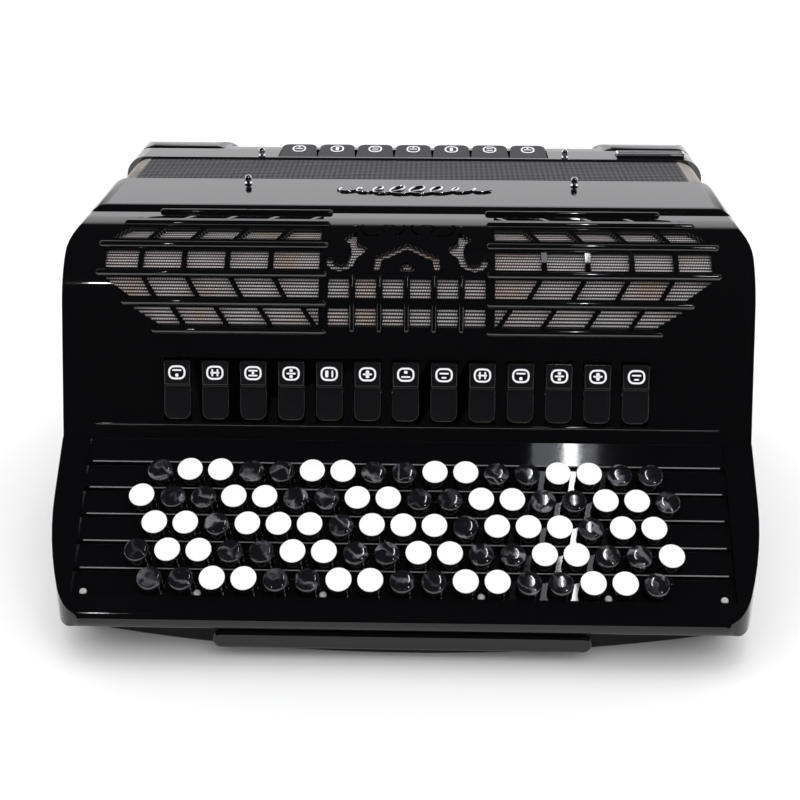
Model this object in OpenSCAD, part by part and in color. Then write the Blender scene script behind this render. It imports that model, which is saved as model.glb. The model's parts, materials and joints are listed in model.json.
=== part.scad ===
// Five-row chromatic button accordion with a converter bass, lying on its back.
// X runs along the long side, Y from the button keyboard to the bass end, Z up.
// The origin is on the surface it rests on, under the middle of its outer box.
// Most pieces are drawn in case coordinates: y is 0 where the bellows meet the
// treble case, z is 0 on the flat front of the cases, and place() moves them.

/* [Casing] */
// Length of both cases along X
case_length = 424; // [350:1:520]
// Thickness of the cases from front to back
case_thickness = 217; // [180:1:262]
// Depth of the treble case from the bellows to the grille seam
treble_depth = 72; // [60:1:90]
// Wooden wall of both cases
case_wall = 8; // [5:0.5:12]
// Radius of the case corners seen from the bellows
corner_radius = 15; // [10:1:40]
// Rounding of the case edge at the seams
seam_radius = 9; // [4:0.5:14]
// Height of the rubber feet
foot_height = 8; // [4:0.5:12]
// Diameter of the rubber feet
foot_d = 18; // [12:1:26]
// Assembly gap between pieces that are pushed together
fit_gap = 0.2; // [0.1:0.05:0.4]
// Gap beside pieces that move
moving_gap = 0.4; // [0.3:0.05:0.8]

/* [Grille] */
// Radius of the curve of the grille
grille_radius = 60; // [50:1:72]
// Flat part of the grille before it curves down
grille_flat = 13.5; // [10:0.5:30]
// Step down from the case front to the grille
grille_drop = 2; // [0.5:0.5:4]
// Wall of the grille cover and the register plate
cover_wall = 3.2; // [2:0.2:5]
// Thickness of the gauze behind the windows
cloth_thickness = 0.8; // [0.4:0.1:1.5]
// Height of the tallest windows along the curve
window_height = 13; // [9:0.2:14]
// Distance between the slats of a window row
slat_pitch = 26.8; // [22:0.2:32]
// Width of the slats between windows
slat_width = 3.4; // [2:0.2:6]
// Width of the raised bars
bar_width = 4.6; // [3:0.2:6]
// Thickness of the upright rods in the middle of the grille
rod_width = 3.2; // [2:0.2:4]

/* [Register panel] */
// Height of the register plate along its slope
panel_height = 61.4; // [54:0.2:75]
// Lean of the register plate from upright
panel_lean = 19; // [10:1:30]
// Number of treble registers
register_count = 13; // [9:2:13]
// Distance between treble registers
register_pitch = 23.4; // [21:0.1:27]
// Width of a treble register tab
register_width = 16.5; // [13:0.1:20]
// Height of a treble register tab
register_height = 36.5; // [28:0.5:42]
// Thickness of a treble register tab
register_thickness = 7; // [5:0.5:9]
// Room above and below a tab, which it needs to rock
rocker_gap = 1.6; // [1.4:0.1:3]
// Diameter of the register axles
axle_d = 4; // [3:0.1:5]

/* [Keyboard] */
// Distance between buttons in a row
button_pitch = 18.5; // [17.5:0.1:21]
// Depth of one step of the fingerboard
step_depth = 16.82; // [16.5:0.02:20]
// Height of one step of the fingerboard
step_height = 2.67; // [1:0.05:5]
// Depth of the plain step above the first row
plain_step = 16.7; // [10:0.1:22]
// Tilt of the steps from level
board_tilt = 32; // [20:1:40]
// Thickness of the fingerboard under a step
board_thickness = 4; // [3:0.5:6]
// Diameter of a button cap
cap_d = 15.4; // [13:0.1:16]
// Thickness of a button cap
cap_thickness = 3.4; // [2:0.1:4]
// Diameter of the collar under a cap
collar_d = 14.4; // [11:0.1:15]
// Height of the cap tops above the fingerboard
button_height = 9.3; // [8.2:0.1:12]
// Travel of a treble button
button_travel = 4.5; // [3:0.1:5]
// Width of the cheek at each end of the fingerboard
cheek_width = 17.5; // [14:0.5:24]
// Depth of the front rim below the last step
rim_depth = 10; // [6:0.5:14]
// Height of the front rim
rim_height = 18; // [12:0.5:24]
// How far the cheeks pull in towards the front corners
cheek_taper = 9; // [0:0.5:16]
// Wall of the keyboard body
keyboard_wall = 5; // [3:0.5:8]
// Length of the palm bar
palm_bar_length = 223; // [150:1:300]
// Height of the palm bar
palm_bar_height = 11.6; // [8:0.2:14]
// Travel of the palm bar
palm_bar_travel = 3; // [2:0.5:4]

/* [Bellows] */
// Number of folds
fold_count = 15; // [12:1:20]
// Distance between closed folds
fold_pitch = 4.07; // [3.5:0.01:5]
// Gap between closed folds at their edges
fold_gap = 0.7; // [0.4:0.1:1.2]
// Depth of the folds
fold_depth = 22; // [14:1:30]
// How far the folds stand back from the case ends
bellows_inset_x = 4.2; // [2:0.1:8]
// How far the folds stand back from the case front
bellows_inset_z = 1.6; // [0.6:0.1:5]

/* [Bass side] */
// Depth of the bass case rim from the bellows to its seam
bass_rim_depth = 34; // [30:1:44]
// Depth of the bass cover beyond that seam
bass_cover_depth = 59; // [50:1:70]
// Height of the bass cover, measured down from the front
bass_cover_height = 85; // [75:1:92]
// Depth of the button board beyond the seam
bass_board_depth = 39; // [34:1:45]
// Number of bass buttons in a row
bass_columns = 20; // [16:1:20]
// Distance between bass buttons along a row
bass_pitch = 15.6; // [14:0.1:17]
// Distance between bass rows
bass_row_pitch = 10.6; // [10:0.1:12]
// Diameter of a bass button
bass_button_d = 8; // [6:0.1:9]
// Height of a bass button above its board
bass_button_height = 7; // [5:0.5:9]
// Travel of a bass button
bass_button_travel = 4; // [3:0.5:5]
// Distance between bass registers
bass_register_pitch = 28.3; // [24:0.1:32]
// Depth of a bass register
bass_register_depth = 21.6; // [16:0.2:23]
// Tilt of a bass register
bass_register_tilt = 13; // [8:1:18]
// Distance from the case ends to the hand strap's anchors
strap_setback = 26; // [20:1:50]
// Width of the hand strap
strap_width = 58; // [45:1:70]
// Thickness of the hand strap
strap_thickness = 4; // [3:0.5:6]
// How far the strap stands off the palm plate
strap_rise = 40; // [30:1:50]

/* [Hidden] */
$fn = 48;
CORNER_STEPS = 8;
BLACK = "#0b0b0d";
CHROME = "#c9ccd1";
WOOD = "#8a6a44";
ROWS = 5;
LONG_ROW = 18;
BASS_REGISTERS = 7;

half_length = case_length / 2;
board_length = case_length - 2 * cheek_width;
strap_span = case_length - 2 * strap_setback;
bellows_depth = fold_count * fold_pitch;
seam_y = -treble_depth;
curve_y = seam_y - grille_flat;
curve_z = -grille_drop - grille_radius;
curve_turn = 90 - panel_lean;
curve_length = grille_radius * curve_turn * PI / 180;
grille_front = curve_y - grille_radius / cos(panel_lean);
joint_y = grille_front - panel_height * sin(panel_lean);
joint_z = curve_z - panel_height * cos(panel_lean);

// One step of the fingerboard goes out and down along DOWN and then down along DROP.
DOWN = [-cos(board_tilt), -sin(board_tilt)];
DROP = [sin(board_tilt), -cos(board_tilt)];
OUT = [-sin(board_tilt), cos(board_tilt)];
first_edge = [joint_y, joint_z] + plain_step * DOWN;
function step_start(k) = first_edge + k * step_height * DROP + (k - 1) * step_depth * DOWN;
function row_centre(k) = step_start(k) + step_depth / 2 * DOWN;
board_end = step_start(ROWS) + step_depth * DOWN;
slope = atan2(step_depth * sin(board_tilt) + step_height * cos(board_tilt),
    step_depth * cos(board_tilt) - step_height * sin(board_tilt));
cheek_lift = 1;
front_y = board_end[0] - rim_depth;
rim_bottom = board_end[1] - rim_height;
// The case stands on its feet, and a thin case has longer ones, so that the keyboard clears the floor.
back_least = 18;
case_top = max(case_thickness + foot_height, back_least - rim_bottom);
foot_reach = case_top - case_thickness;

bass_y = bellows_depth;
bass_seam = bass_y + bass_rim_depth;
bass_end = bass_seam + bass_cover_depth;
board_face = bass_seam + bass_board_depth;
back_y = board_face + strap_rise + strap_thickness;
y_shift = -(front_y + back_y) / 2;

grip_width = strap_width + 4;
palm_z = -case_thickness + grip_width / 2 + 2;
bass_rows_top = -bass_cover_height - 9;

function row_length(k) = k % 2 == 1 ? LONG_ROW - 1 : LONG_ROW;
function register_x(i) = (i - (register_count + 1) / 2) * register_pitch;
function bass_register_x(i) = (i - (BASS_REGISTERS + 1) / 2) * bass_register_pitch;

// Raised bars of the grille: how far down the front each lies, and where it ends.
BAR_PLACES = [-8.3, 12.2, 33.4, 53.6, 71.7, 89];
BAR_ENDS = [158, 177, 189.5, 189.5, 173, 154.5];
NOMINAL_LENGTH = 424;
NOMINAL_RADIUS = 60;
bar_inner_end = 51;
function bar_place(k) = BAR_PLACES[k] * grille_radius / NOMINAL_RADIUS;
function bar_end(k) = BAR_ENDS[k] * case_length / NOMINAL_LENGTH;

// Window rows: how far each row's slats are shifted, how far they slant, and how tall the windows are.
SLAT_START = [59, 77, 84, 78, 60];
SLAT_SLANT = [6, 8, 0, -8.4, -8.8];
ROW_SHARE = [0.38, 0.8, 1, 0.92, 0.86];
window_inner = 54;
centre_pitch = 16.75;
centre_gap = 4.2;

function arc(c, r, a0, a1, n) = [for (i = [0:n])
    [c[0] + r * cos(a0 + (a1 - a0) * i / n), c[1] + r * sin(a0 + (a1 - a0) * i / n)]];

function rounded(x0, x1, z0, z1, r) = concat(
    arc([x1 - r, z1 - r], r, 0, 90, CORNER_STEPS), arc([x0 + r, z1 - r], r, 90, 180, CORNER_STEPS),
    arc([x0 + r, z0 + r], r, 180, 270, CORNER_STEPS), arc([x1 - r, z0 + r], r, 270, 360, CORNER_STEPS));

module place() {
    translate([0, y_shift, case_top])
        children();
}

// A shape drawn in y and z, drawn out along X.
module along_x(length) {
    rotate([90, 0, 90])
        linear_extrude(height = length, center = true)
            children();
}

// A shape drawn in x and z, drawn out along Y.
module along_y(y0, y1) {
    translate([0, y1, 0])
        rotate([90, 0, 0])
            linear_extrude(height = y1 - y0)
                children();
}

// Outline of the cases seen from the bellows, pulled in by an inset.
module case_outline(inset) {
    polygon(rounded(-half_length + inset, half_length - inset, -case_thickness + inset, -inset,
        max(corner_radius - inset, 4)));
}

module bellows_outline(inset) {
    polygon(rounded(-half_length + bellows_inset_x + inset, half_length - bellows_inset_x - inset,
        -case_thickness + bellows_inset_z + inset, -bellows_inset_z - inset,
        max(corner_radius - inset, 4)));
}

// Moves to the front of the grille, a distance down from where it starts to curve, with local z
// pointing out and local y up the front. After the curve the front runs straight to its seam.
module on_front(down, lift) {
    on_curve = min(max(down, 0), curve_length);
    translate([0, curve_y, curve_z])
        rotate([on_curve / curve_length * curve_turn, 0, 0])
            translate([0, on_curve - down, grille_radius + lift])
                children();
}

// Moves to a step of the fingerboard, with local z pointing out along the buttons.
module on_step(k, x) {
    translate([x, row_centre(k)[0], row_centre(k)[1]])
        rotate([board_tilt, 0, 0])
            children();
}

// Moves to the register plate: local z points out of the plate, local y up its slope.
module on_panel(x, down) {
    translate([x, grille_front - down * sin(panel_lean), curve_z - down * cos(panel_lean)])
        rotate([90 - panel_lean, 0, 0])
            children();
}

/* Treble side */

module treble_case() {
    color(BLACK) place()
        difference() {
            intersection() {
                along_y(seam_y, 0)
                    case_outline(0);
                along_x(case_length + 2)
                    polygon(concat([[0, -case_thickness - 1], [0, 1], [0, 0]],
                        arc([seam_y + seam_radius, -seam_radius], seam_radius, 90, 180, CORNER_STEPS),
                        [[seam_y, -case_thickness - 1]]));
            }
            along_y(seam_y - 1, 1)
                case_outline(case_wall);
        }
}

cover_seam_radius = 5;

// A point on the straight part of the front, a height above its seam, and the whole front, both pulled in.
function front_foot(inset, up) = [curve_y - (grille_radius - inset) / cos(panel_lean) + up * tan(panel_lean),
    curve_z + up];
function front_profile(inset, up) = concat(
    arc([curve_y, curve_z], grille_radius - inset, 90, 90 + curve_turn, 3 * CORNER_STEPS),
    [front_foot(inset, up)]);

function cover_profile() = concat([[seam_y, curve_z], [seam_y, -grille_drop - cover_seam_radius]],
    arc([seam_y - cover_seam_radius, -grille_drop - cover_seam_radius], cover_seam_radius, 0, 90, 4),
    front_profile(0, 0));

function cover_hollow(wall) = concat([[seam_y + 1, curve_z - 1], [seam_y + 1, -grille_drop - wall]],
    front_profile(wall, 0), [front_foot(wall, 0) - [0, 1]]);

// Openings of one window row on the right-hand side, in x and distance up the front.
module window_row(row) {
    inner = bar_end(row);
    outer = bar_end(row + 1);
    edge = slat_width;
    half = window_height * ROW_SHARE[row] / 2;
    lean = SLAT_SLANT[row] / 2;
    difference() {
        polygon([[window_inner, half], [inner - edge, half], [outer - edge, -half], [window_inner, -half]]);
        for (j = [0:6])
            translate([SLAT_START[row] + j * slat_pitch, 0])
                polygon([[-lean - slat_width / 2, half + 1], [-lean + slat_width / 2, half + 1],
                    [lean + slat_width / 2, -half - 1], [lean - slat_width / 2, -half - 1]]);
    }
}

function row_place(row) = (bar_place(row) + bar_place(row + 1)) / 2;

module centre_row(row) {
    for (j = [-3:2])
        translate([(j + 0.5) * centre_pitch, 0])
            square([centre_pitch - centre_gap, window_height * ROW_SHARE[row]], center = true);
}

// A curved slot of the scroll ornament.
module scroll_slot(x, y, r, width, a0, a1) {
    translate([x, y])
        polygon(concat(arc([0, 0], r + width / 2, a0, a1, CORNER_STEPS),
            arc([0, 0], r - width / 2, a1, a0, CORNER_STEPS)));
}

ornament_place = 36;

// Half of the ornament over the middle windows, in x and distance down from where the front curves.
HOOK = [[31.6, 20], [31.6, 31], [24.2, 35], [27.7, 39.5], [31, 42], [33, 47.5], [37, 50.4], [41.6, 51.4],
    [46, 50.4], [49, 47.5], [50.5, 42], [46.5, 42.5], [45, 46], [40.7, 47.4], [36.8, 45.6], [34.8, 41],
    [34.4, 37], [35.6, 31.5], [40.2, 28]];
CHEVRON = [[0, 31], [16.5, 40], [19.5, 41], [20.5, 50.8], [17, 50.8], [15.5, 43.5], [13, 43], [0, 35.5]];
TRIANGLE = [[0, 44.5], [5.4, 51], [0, 51]];

module ornament_half() {
    translate([0, ornament_place])
        mirror([0, 1]) {
            polygon(HOOK);
            polygon(CHEVRON);
            polygon(TRIANGLE);
        }
    translate([0, ornament_place - 16]) {
        scroll_slot(21, -3, 13.5, 1.5, 20, 88);
        scroll_slot(22, -1, 7.5, 1.5, -120, 120);
        scroll_slot(10.5, 0, 8.5, 1.6, 60, 250);
        scroll_slot(12, -1, 4.5, 1.4, -60, 150);
    }
}

module grille_cover() {
    cut = 3 * cover_wall;
    color(BLACK) place()
        difference() {
            intersection() {
                along_x(case_length)
                    polygon(cover_profile());
                along_y(grille_front - 1, seam_y + 1)
                    case_outline(0);
            }
            intersection() {
                along_x(case_length)
                    polygon(cover_hollow(cover_wall));
                along_y(grille_front - 1, seam_y + 2)
                    case_outline(case_wall);
            }
            for (row = [0:4])
                for (side = [0, 1])
                    mirror([side, 0, 0])
                        on_front(row_place(row), -cut / 2)
                            linear_extrude(height = cut)
                                window_row(row);
            for (row = [3, 4])
                on_front(row_place(row), -cut / 2)
                    linear_extrude(height = cut)
                        centre_row(row);
            on_front(ornament_place, -cut / 2)
                linear_extrude(height = cut)
                    for (side = [0, 1])
                        mirror([side, 0, 0])
                            ornament_half();
        }
}

// A raised bar with round ends, lying along X, with its lower half cut away.
module bar(x0, x1, width) {
    intersection() {
        union() {
            translate([x0, 0, 0])
                rotate([0, 90, 0])
                    cylinder(d = width, h = x1 - x0);
            translate([x0, 0, 0])
                sphere(d = width);
            translate([x1, 0, 0])
                sphere(d = width);
        }
        translate([x0 - width, -width, 0])
            cube([x1 - x0 + 2 * width, 2 * width, width]);
    }
}

rod_top = 55.5;
rod_bottom = 88;

// An upright rod that follows the front: round the curve and then straight down.
module upright_rod(x) {
    turn = rod_top / curve_length * curve_turn;
    end = min(rod_bottom, curve_length);
    end_turn = end / curve_length * curve_turn;
    translate([x, curve_y, curve_z])
        rotate([0, -90, 0])
            rotate([0, 0, -end_turn])
                rotate_extrude(angle = end_turn - turn)
                    translate([grille_radius, 0])
                        intersection() {
                            circle(d = rod_width);
                            translate([0, -rod_width])
                                square([rod_width, 2 * rod_width]);
                        }
    translate([x, 0, 0])
        on_front(end, 0)
            rotate([0, 0, 90])
                bar(min(end - rod_bottom, -fit_gap), 0, rod_width);
}

module grille_bars() {
    color(BLACK) place() {
        for (i = [-2:2])
            upright_rod(i * centre_pitch);
        for (side = [0, 1])
            mirror([side, 0, 0])
                for (k = [0:5])
                    on_front(bar_place(k), 0)
                        bar(bar_inner_end, bar_end(k), bar_width);
    }
}

module grille_cloth() {
    gap = cover_wall + fit_gap;
    deep = gap + cloth_thickness;
    above = 3;
    first = 86;
    last = 90 + curve_turn;
    color("#9a8c8c") place()
        intersection() {
            along_x(2 * (bar_end(2) + 2))
                polygon(concat(arc([curve_y, curve_z], grille_radius - gap, first, last, 2 * CORNER_STEPS),
                    [front_foot(gap, above), front_foot(deep, above)],
                    arc([curve_y, curve_z], grille_radius - deep, last, first, 2 * CORNER_STEPS)));
            along_y(grille_front, seam_y)
                case_outline(case_wall + fit_gap);
        }
}

trim_place = panel_height / 2 + register_height / 2 + rocker_gap + 1.6;
trim_half = 0.9 * half_length;
trim_width = 2.2;
trim_sunk = 0.3;

// The plate is a box with an open back: a sloping front, two ends and thirteen slots.
module register_plate() {
    inside = case_wall + fit_gap;
    thick = cover_wall / cos(panel_lean);
    color(BLACK) place() {
        on_panel(0, trim_place)
            translate([0, 0, -trim_sunk])
                bar(-trim_half, trim_half, trim_width);
        difference() {
            along_x(case_length)
                polygon([[seam_y, curve_z], [grille_front, curve_z], [joint_y, joint_z], [seam_y, joint_z]]);
            along_x(case_length - 2 * inside)
                polygon([[seam_y + 1, curve_z + 1], [grille_front + thick, curve_z + 1],
                    [grille_front + thick, curve_z], [joint_y + thick, joint_z],
                    [joint_y + thick, joint_z - 1], [seam_y + 1, joint_z - 1]]);
            for (i = [1:register_count])
                on_panel(register_x(i), panel_height / 2)
                    cube([register_width + 2 * moving_gap, register_height + 2 * rocker_gap, 6 * cover_wall],
                        center = true);
        }
    }
}

axle_depth = register_thickness + 1;

// A rocker tab: a raised flat head over a hollowed paddle, on a lug bored for the axle.
module treble_register(i) {
    h = register_height;
    head = h * 0.41;
    color("#15161a") place()
        on_panel(register_x(i), panel_height / 2)
            difference() {
                rotate([90, 0, 90])
                    linear_extrude(height = register_width, center = true)
                        polygon(concat([[-h / 2, -2], [-h / 2, 1.6]],
                            arc([(-h / 2 + h / 2 - head) / 2, 24], 22.6, 250, 290, CORNER_STEPS),
                            [[h / 2 - head + 2, 3.4], [h / 2 - 1, 4.4], [h / 2, 3.6], [h / 2, -2],
                            [axle_d, -2], [axle_d, -axle_depth - axle_d], [-axle_d, -axle_depth - axle_d],
                            [-axle_d, -2]]));
                translate([0, 0, -axle_depth])
                    rotate([0, 90, 0])
                        cylinder(d = axle_d + 0.1, h = register_width + 2, center = true);
            }
}

module register_axle() {
    length = case_length - 2 * case_wall - 2 * fit_gap;
    color(CHROME) place()
        on_panel(0, panel_height / 2)
            translate([0, 0, -axle_depth])
                rotate([0, 90, 0])
                    cylinder(d = axle_d, h = length, center = true);
}

hole_d = collar_d + 2 * moving_gap;

module fingerboard() {
    under = board_thickness + step_height;
    color(BLACK) place()
        difference() {
            along_x(board_length - 2 * fit_gap)
                polygon(concat([[joint_y, joint_z], first_edge],
                    [for (k = [1:ROWS], e = [0, 1]) step_start(k) + e * step_depth * DOWN],
                    [board_end - under * OUT, [joint_y, joint_z] - under * OUT]));
            for (k = [1:ROWS])
                for (j = [1:row_length(k)])
                    on_step(k, (j - (row_length(k) + 1) / 2) * button_pitch)
                        cylinder(d = hole_d, h = 8 * board_thickness, center = true);
        }
}

// Plan outline of the keyboard: the cheeks curve in to round front corners.
corner_turn = 22;
front_corner = 20;
cheek_end = front_y + front_corner * (1 - sin(corner_turn));
cheek_start = cheek_end + 2 * cheek_taper / tan(corner_turn);

function cheek_line(w, side) = [for (i = [0:6]) let (t = side > 0 ? 1 - i / 6 : i / 6)
    [side * (w - cheek_taper * t * t), cheek_start + t * (cheek_end - cheek_start)]];

module keyboard_plan() {
    w = half_length;
    r = front_corner;
    corner = w - cheek_taper - r * cos(corner_turn);
    polygon(concat([[-w, seam_y]], cheek_line(w, -1),
        arc([-corner, front_y + r], r, 180 + corner_turn, 270, CORNER_STEPS),
        arc([corner, front_y + r], r, 270, 360 - corner_turn, CORNER_STEPS),
        cheek_line(w, 1), [[w, seam_y]]));
}

module keyboard_body() {
    r = 7;
    rim_wall = 0.9;
    nose = [front_y + r, rim_bottom + r];
    under = board_thickness + step_height + fit_gap;
    color(BLACK) place()
        difference() {
            intersection() {
                along_x(case_length)
                    polygon(concat([[seam_y, rim_bottom], [seam_y, joint_z], [joint_y, joint_z]],
                        [[joint_y, joint_z] + cheek_lift * [-1, 1], board_end + cheek_lift * [-1, 1]],
                        arc(nose, r, 120, 250, CORNER_STEPS), [[front_y + 2 * r, rim_bottom]]));
                translate([0, 0, rim_bottom - 1])
                    linear_extrude(height = 200)
                        keyboard_plan();
            }
            // Seat of the fingerboard, and the hollow for the levers under it.
            along_x(board_length)
                polygon(concat([[joint_y, joint_z + 30], [joint_y, joint_z] - under * OUT,
                    board_end - under * OUT, board_end, board_end + [-moving_gap, 0],
                    board_end + [-moving_gap, 30]]));
            along_x(board_length - 2 * case_wall)
                polygon([[seam_y + 1, joint_z + 1], [joint_y, joint_z + 1], [joint_y, joint_z] - under * OUT,
                    board_end - (under - 1) * OUT + [rim_wall, 0],
                    [board_end[0] + rim_wall, rim_bottom + keyboard_wall],
                    [seam_y + 1, rim_bottom + keyboard_wall]]);
        }
}

back_bow = 26;
back_half = 195;
back_front = front_y + 14;

// The bowed back of the keyboard, between the rim and the surface that it lies on.
module keyboard_back() {
    sag_radius = (back_half * back_half + back_bow * back_bow) / (2 * back_bow);
    half_angle = asin(back_half / sag_radius);
    color("#101010") place()
        translate([0, 0, -case_top])
            linear_extrude(height = rim_bottom + case_top)
                polygon(concat([[-back_half, seam_y - fit_gap]],
                    arc([0, back_front + sag_radius], sag_radius, 270 - half_angle, 270 + half_angle, 24),
                    [[back_half, seam_y - fit_gap]]));
}

module palm_bar() {
    gap = palm_bar_travel + 1.5;
    color(BLACK) place()
        translate([0, 0, rim_bottom - 2 - palm_bar_height / 2]) {
            along_y(front_y + 4, back_front - gap)
                polygon(rounded(-palm_bar_length / 2, palm_bar_length / 2, -palm_bar_height / 2,
                    palm_bar_height / 2, 5));
        }
}

collar_sunk = 6;

// A button: collar through the board, then a flat or domed cap.
module button(dome) {
    color(dome > 0 ? BLACK : "#f4f2ec") {
        translate([0, 0, -collar_sunk])
            cylinder(d = collar_d, h = button_height - cap_thickness + collar_sunk);
        translate([0, 0, button_height - cap_thickness])
            cylinder(d = cap_d, h = cap_thickness - 1);
        translate([0, 0, button_height - 1])
            cylinder(d1 = cap_d, d2 = cap_d - 1.4, h = 1);
    }
}

module treble_row(k) {
    place()
        for (j = [1:row_length(k)])
            on_step(k, (j - (row_length(k) + 1) / 2) * button_pitch)
                button((j + k) % 3);
}

SCREW_PLACES = [2.5, 6.5];
screw_d = 4.4;

module keyboard_screws() {
    xs = concat([for (n = SCREW_PLACES) n * button_pitch], [board_length / 2 - 7]);
    color(CHROME) place()
        for (side = [-1, 1])
            for (x = xs)
                translate([side * x, board_end[0], board_end[1]])
                    rotate([board_tilt, 0, 0])
                        translate([0, 2.6, 0])
                            cylinder(d1 = screw_d, d2 = screw_d - 1.6, h = 1.1);
}

emblem_length = 96;
emblem_ring = 11;
emblem_line = 2.2;

// A plain flourish: overlapping rings that shrink towards both ends, on one long line.
module case_emblem() {
    thick = 1.4;
    color(CHROME) place()
        translate([0, seam_y / 2 + 7, 0])
            linear_extrude(height = thick)
                union() {
                    for (side = [-1, 1])
                        for (i = [0:2])
                            translate([side * (9 + 14 * i), 0])
                                difference() {
                                    circle(r = emblem_ring - 2.4 * i);
                                    circle(r = emblem_ring - 2.4 * i - emblem_line);
                                }
                    square([emblem_length, emblem_line], center = true);
                }
}

module treble_soundboard() {
    color(WOOD) place()
        difference() {
            along_y(seam_y, seam_y + 7)
                case_outline(case_wall + fit_gap);
            for (x = [-160:32:160])
                for (z = [-55, -105, -155])
                    translate([x, seam_y + 3, z])
                        rotate([90, 0, 0])
                            cylinder(d = 12, h = 20, center = true);
        }
}

module reed_block(length, height) {
    color(WOOD)
        translate([-length / 2, 0, -9])
            cube([length, height, 18]);
    color("#b9bcc2")
        for (side = [-1, 1])
            translate([-length / 2 + 4, 4, side > 0 ? 9 : -10.4])
                cube([length - 8, height - 8, 1.4]);
}

block_zs = [-48, -88, -128, -168];

module treble_reed_blocks() {
    place()
        for (z = block_zs)
            translate([0, seam_y + 7, z])
                reed_block(330, 42);
}

stud_x = 111.4;
treble_stud_setback = 14;
bass_stud_setback = 3.2;

module stud() {
    color(CHROME) {
        cylinder(d = 5.4, h = 0.9);
        cylinder(d = 2.6, h = 3);
        translate([0, 0, 4])
            sphere(d = 4.9);
    }
}

module treble_strap_studs() {
    place()
        for (x = [-stud_x, stud_x])
            translate([x, -treble_stud_setback, 0])
                stud();
}

module foot(x, y) {
    color("#1a1a1a")
        translate([x, y, -case_top])
            cylinder(d1 = foot_d - 2, d2 = foot_d, h = foot_reach);
}

module treble_feet() {
    place()
        for (x = [-150, 150])
            foot(x, seam_y / 2 + 8);
}

module shoulder_brackets() {
    color(CHROME) place()
        for (x = [-185, 185])
            translate([x, seam_y / 2, -case_thickness - 5]) {
                difference() {
                    translate([-13, -9, 0])
                        cube([26, 18, 5]);
                    translate([-8, -14, 1.5])
                        cube([16, 28, 2.2]);
                }
            }
}

/* Bellows */

frame_depth = 9;
frame_width = 11;

module bellows_frame(y0, y1) {
    color(WOOD)
        difference() {
            along_y(y0, y1)
                case_outline(case_wall + fit_gap);
            along_y(y0 - 1, y1 + 1)
                case_outline(case_wall + fit_gap + frame_width);
        }
}

module bellows_frame_treble() {
    place()
        bellows_frame(-frame_depth, 0);
}

module bellows_frame_bass() {
    place()
        bellows_frame(bass_y, bass_y + frame_depth);
}

module bellows() {
    color("#2b2b2e") place()
        difference() {
            union() {
                for (i = [0:fold_count - 1])
                    along_y(i * fold_pitch + fold_gap / 2, (i + 1) * fold_pitch - fold_gap / 2)
                        bellows_outline(0);
                along_y(0, bellows_depth)
                    bellows_outline(3);
            }
            along_y(-1, bellows_depth + 1)
                bellows_outline(fold_depth);
        }
}

corner_cap = 18;

// Metal caps over the four corners of every fold.
module bellows_corners() {
    half = half_length - bellows_inset_x;
    color("#8f8578") place()
        for (i = [0:fold_count - 1])
            intersection() {
                along_y(i * fold_pitch + fold_gap / 2, (i + 1) * fold_pitch - fold_gap / 2)
                    difference() {
                        bellows_outline(-0.5);
                        bellows_outline(0);
                    }
                union() {
                    for (sx = [-1, 1])
                        for (z = [0, -case_thickness])
                            translate([sx * half, bellows_depth / 2, z])
                                cube([4 * corner_cap, bellows_depth * 2, 2.6 * corner_cap], center = true);
                }
            }
}

/* Bass side */

module bass_case() {
    inner = case_wall;
    color(BLACK) place()
        difference() {
            intersection() {
                along_y(bass_y, board_face)
                    case_outline(0);
                along_x(case_length + 2)
                    polygon(concat([[bass_y, -case_thickness - 1], [bass_y, 0]],
                        arc([bass_seam - seam_radius, -seam_radius], seam_radius, 90, 0, CORNER_STEPS),
                        [[bass_seam, -bass_cover_height], [board_face, -bass_cover_height],
                        [board_face, -case_thickness - 1]]));
            }
            along_y(bass_y - 1, board_face + 1)
                case_outline(inner);
            register_recess();
            translate([175, bass_y + 11, -4])
                cube([50 + 2 * moving_gap, 9 + 2 * moving_gap, 12], center = true);
        }
}

// Long slot in the front of the bass case that the register tabs drop into.
module register_recess() {
    width = BASS_REGISTERS * bass_register_pitch + 2 * moving_gap;
    translate([-width / 2, bass_y + 2.4, -5])
        cube([width, bass_register_depth + 1.6, 8]);
}

shoulder_width = 38;
shoulder_flat = 12;
shoulder_radius = 30;
shoulder_drop = 0.5;

// The raised shoulders at both ends of the cover: flat on top, rounded off towards the bass end.
module shoulders() {
    y = bass_seam + shoulder_flat;
    intersection() {
        along_x(case_length)
            polygon(concat([[bass_seam, -shoulder_radius], [bass_seam, -shoulder_drop - 2],
                [bass_seam + 2, -shoulder_drop]],
                arc([y, -shoulder_radius - shoulder_drop], shoulder_radius, 90, 0, CORNER_STEPS)));
        along_y(bass_seam, bass_end)
            case_outline(0);
        along_y(bass_seam, bass_end)
            for (side = [-1, 1])
                translate([side * (half_length - shoulder_width), 0])
                    polygon(rounded(-shoulder_width, shoulder_width, -case_thickness, -shoulder_drop, 14));
    }
}

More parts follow.
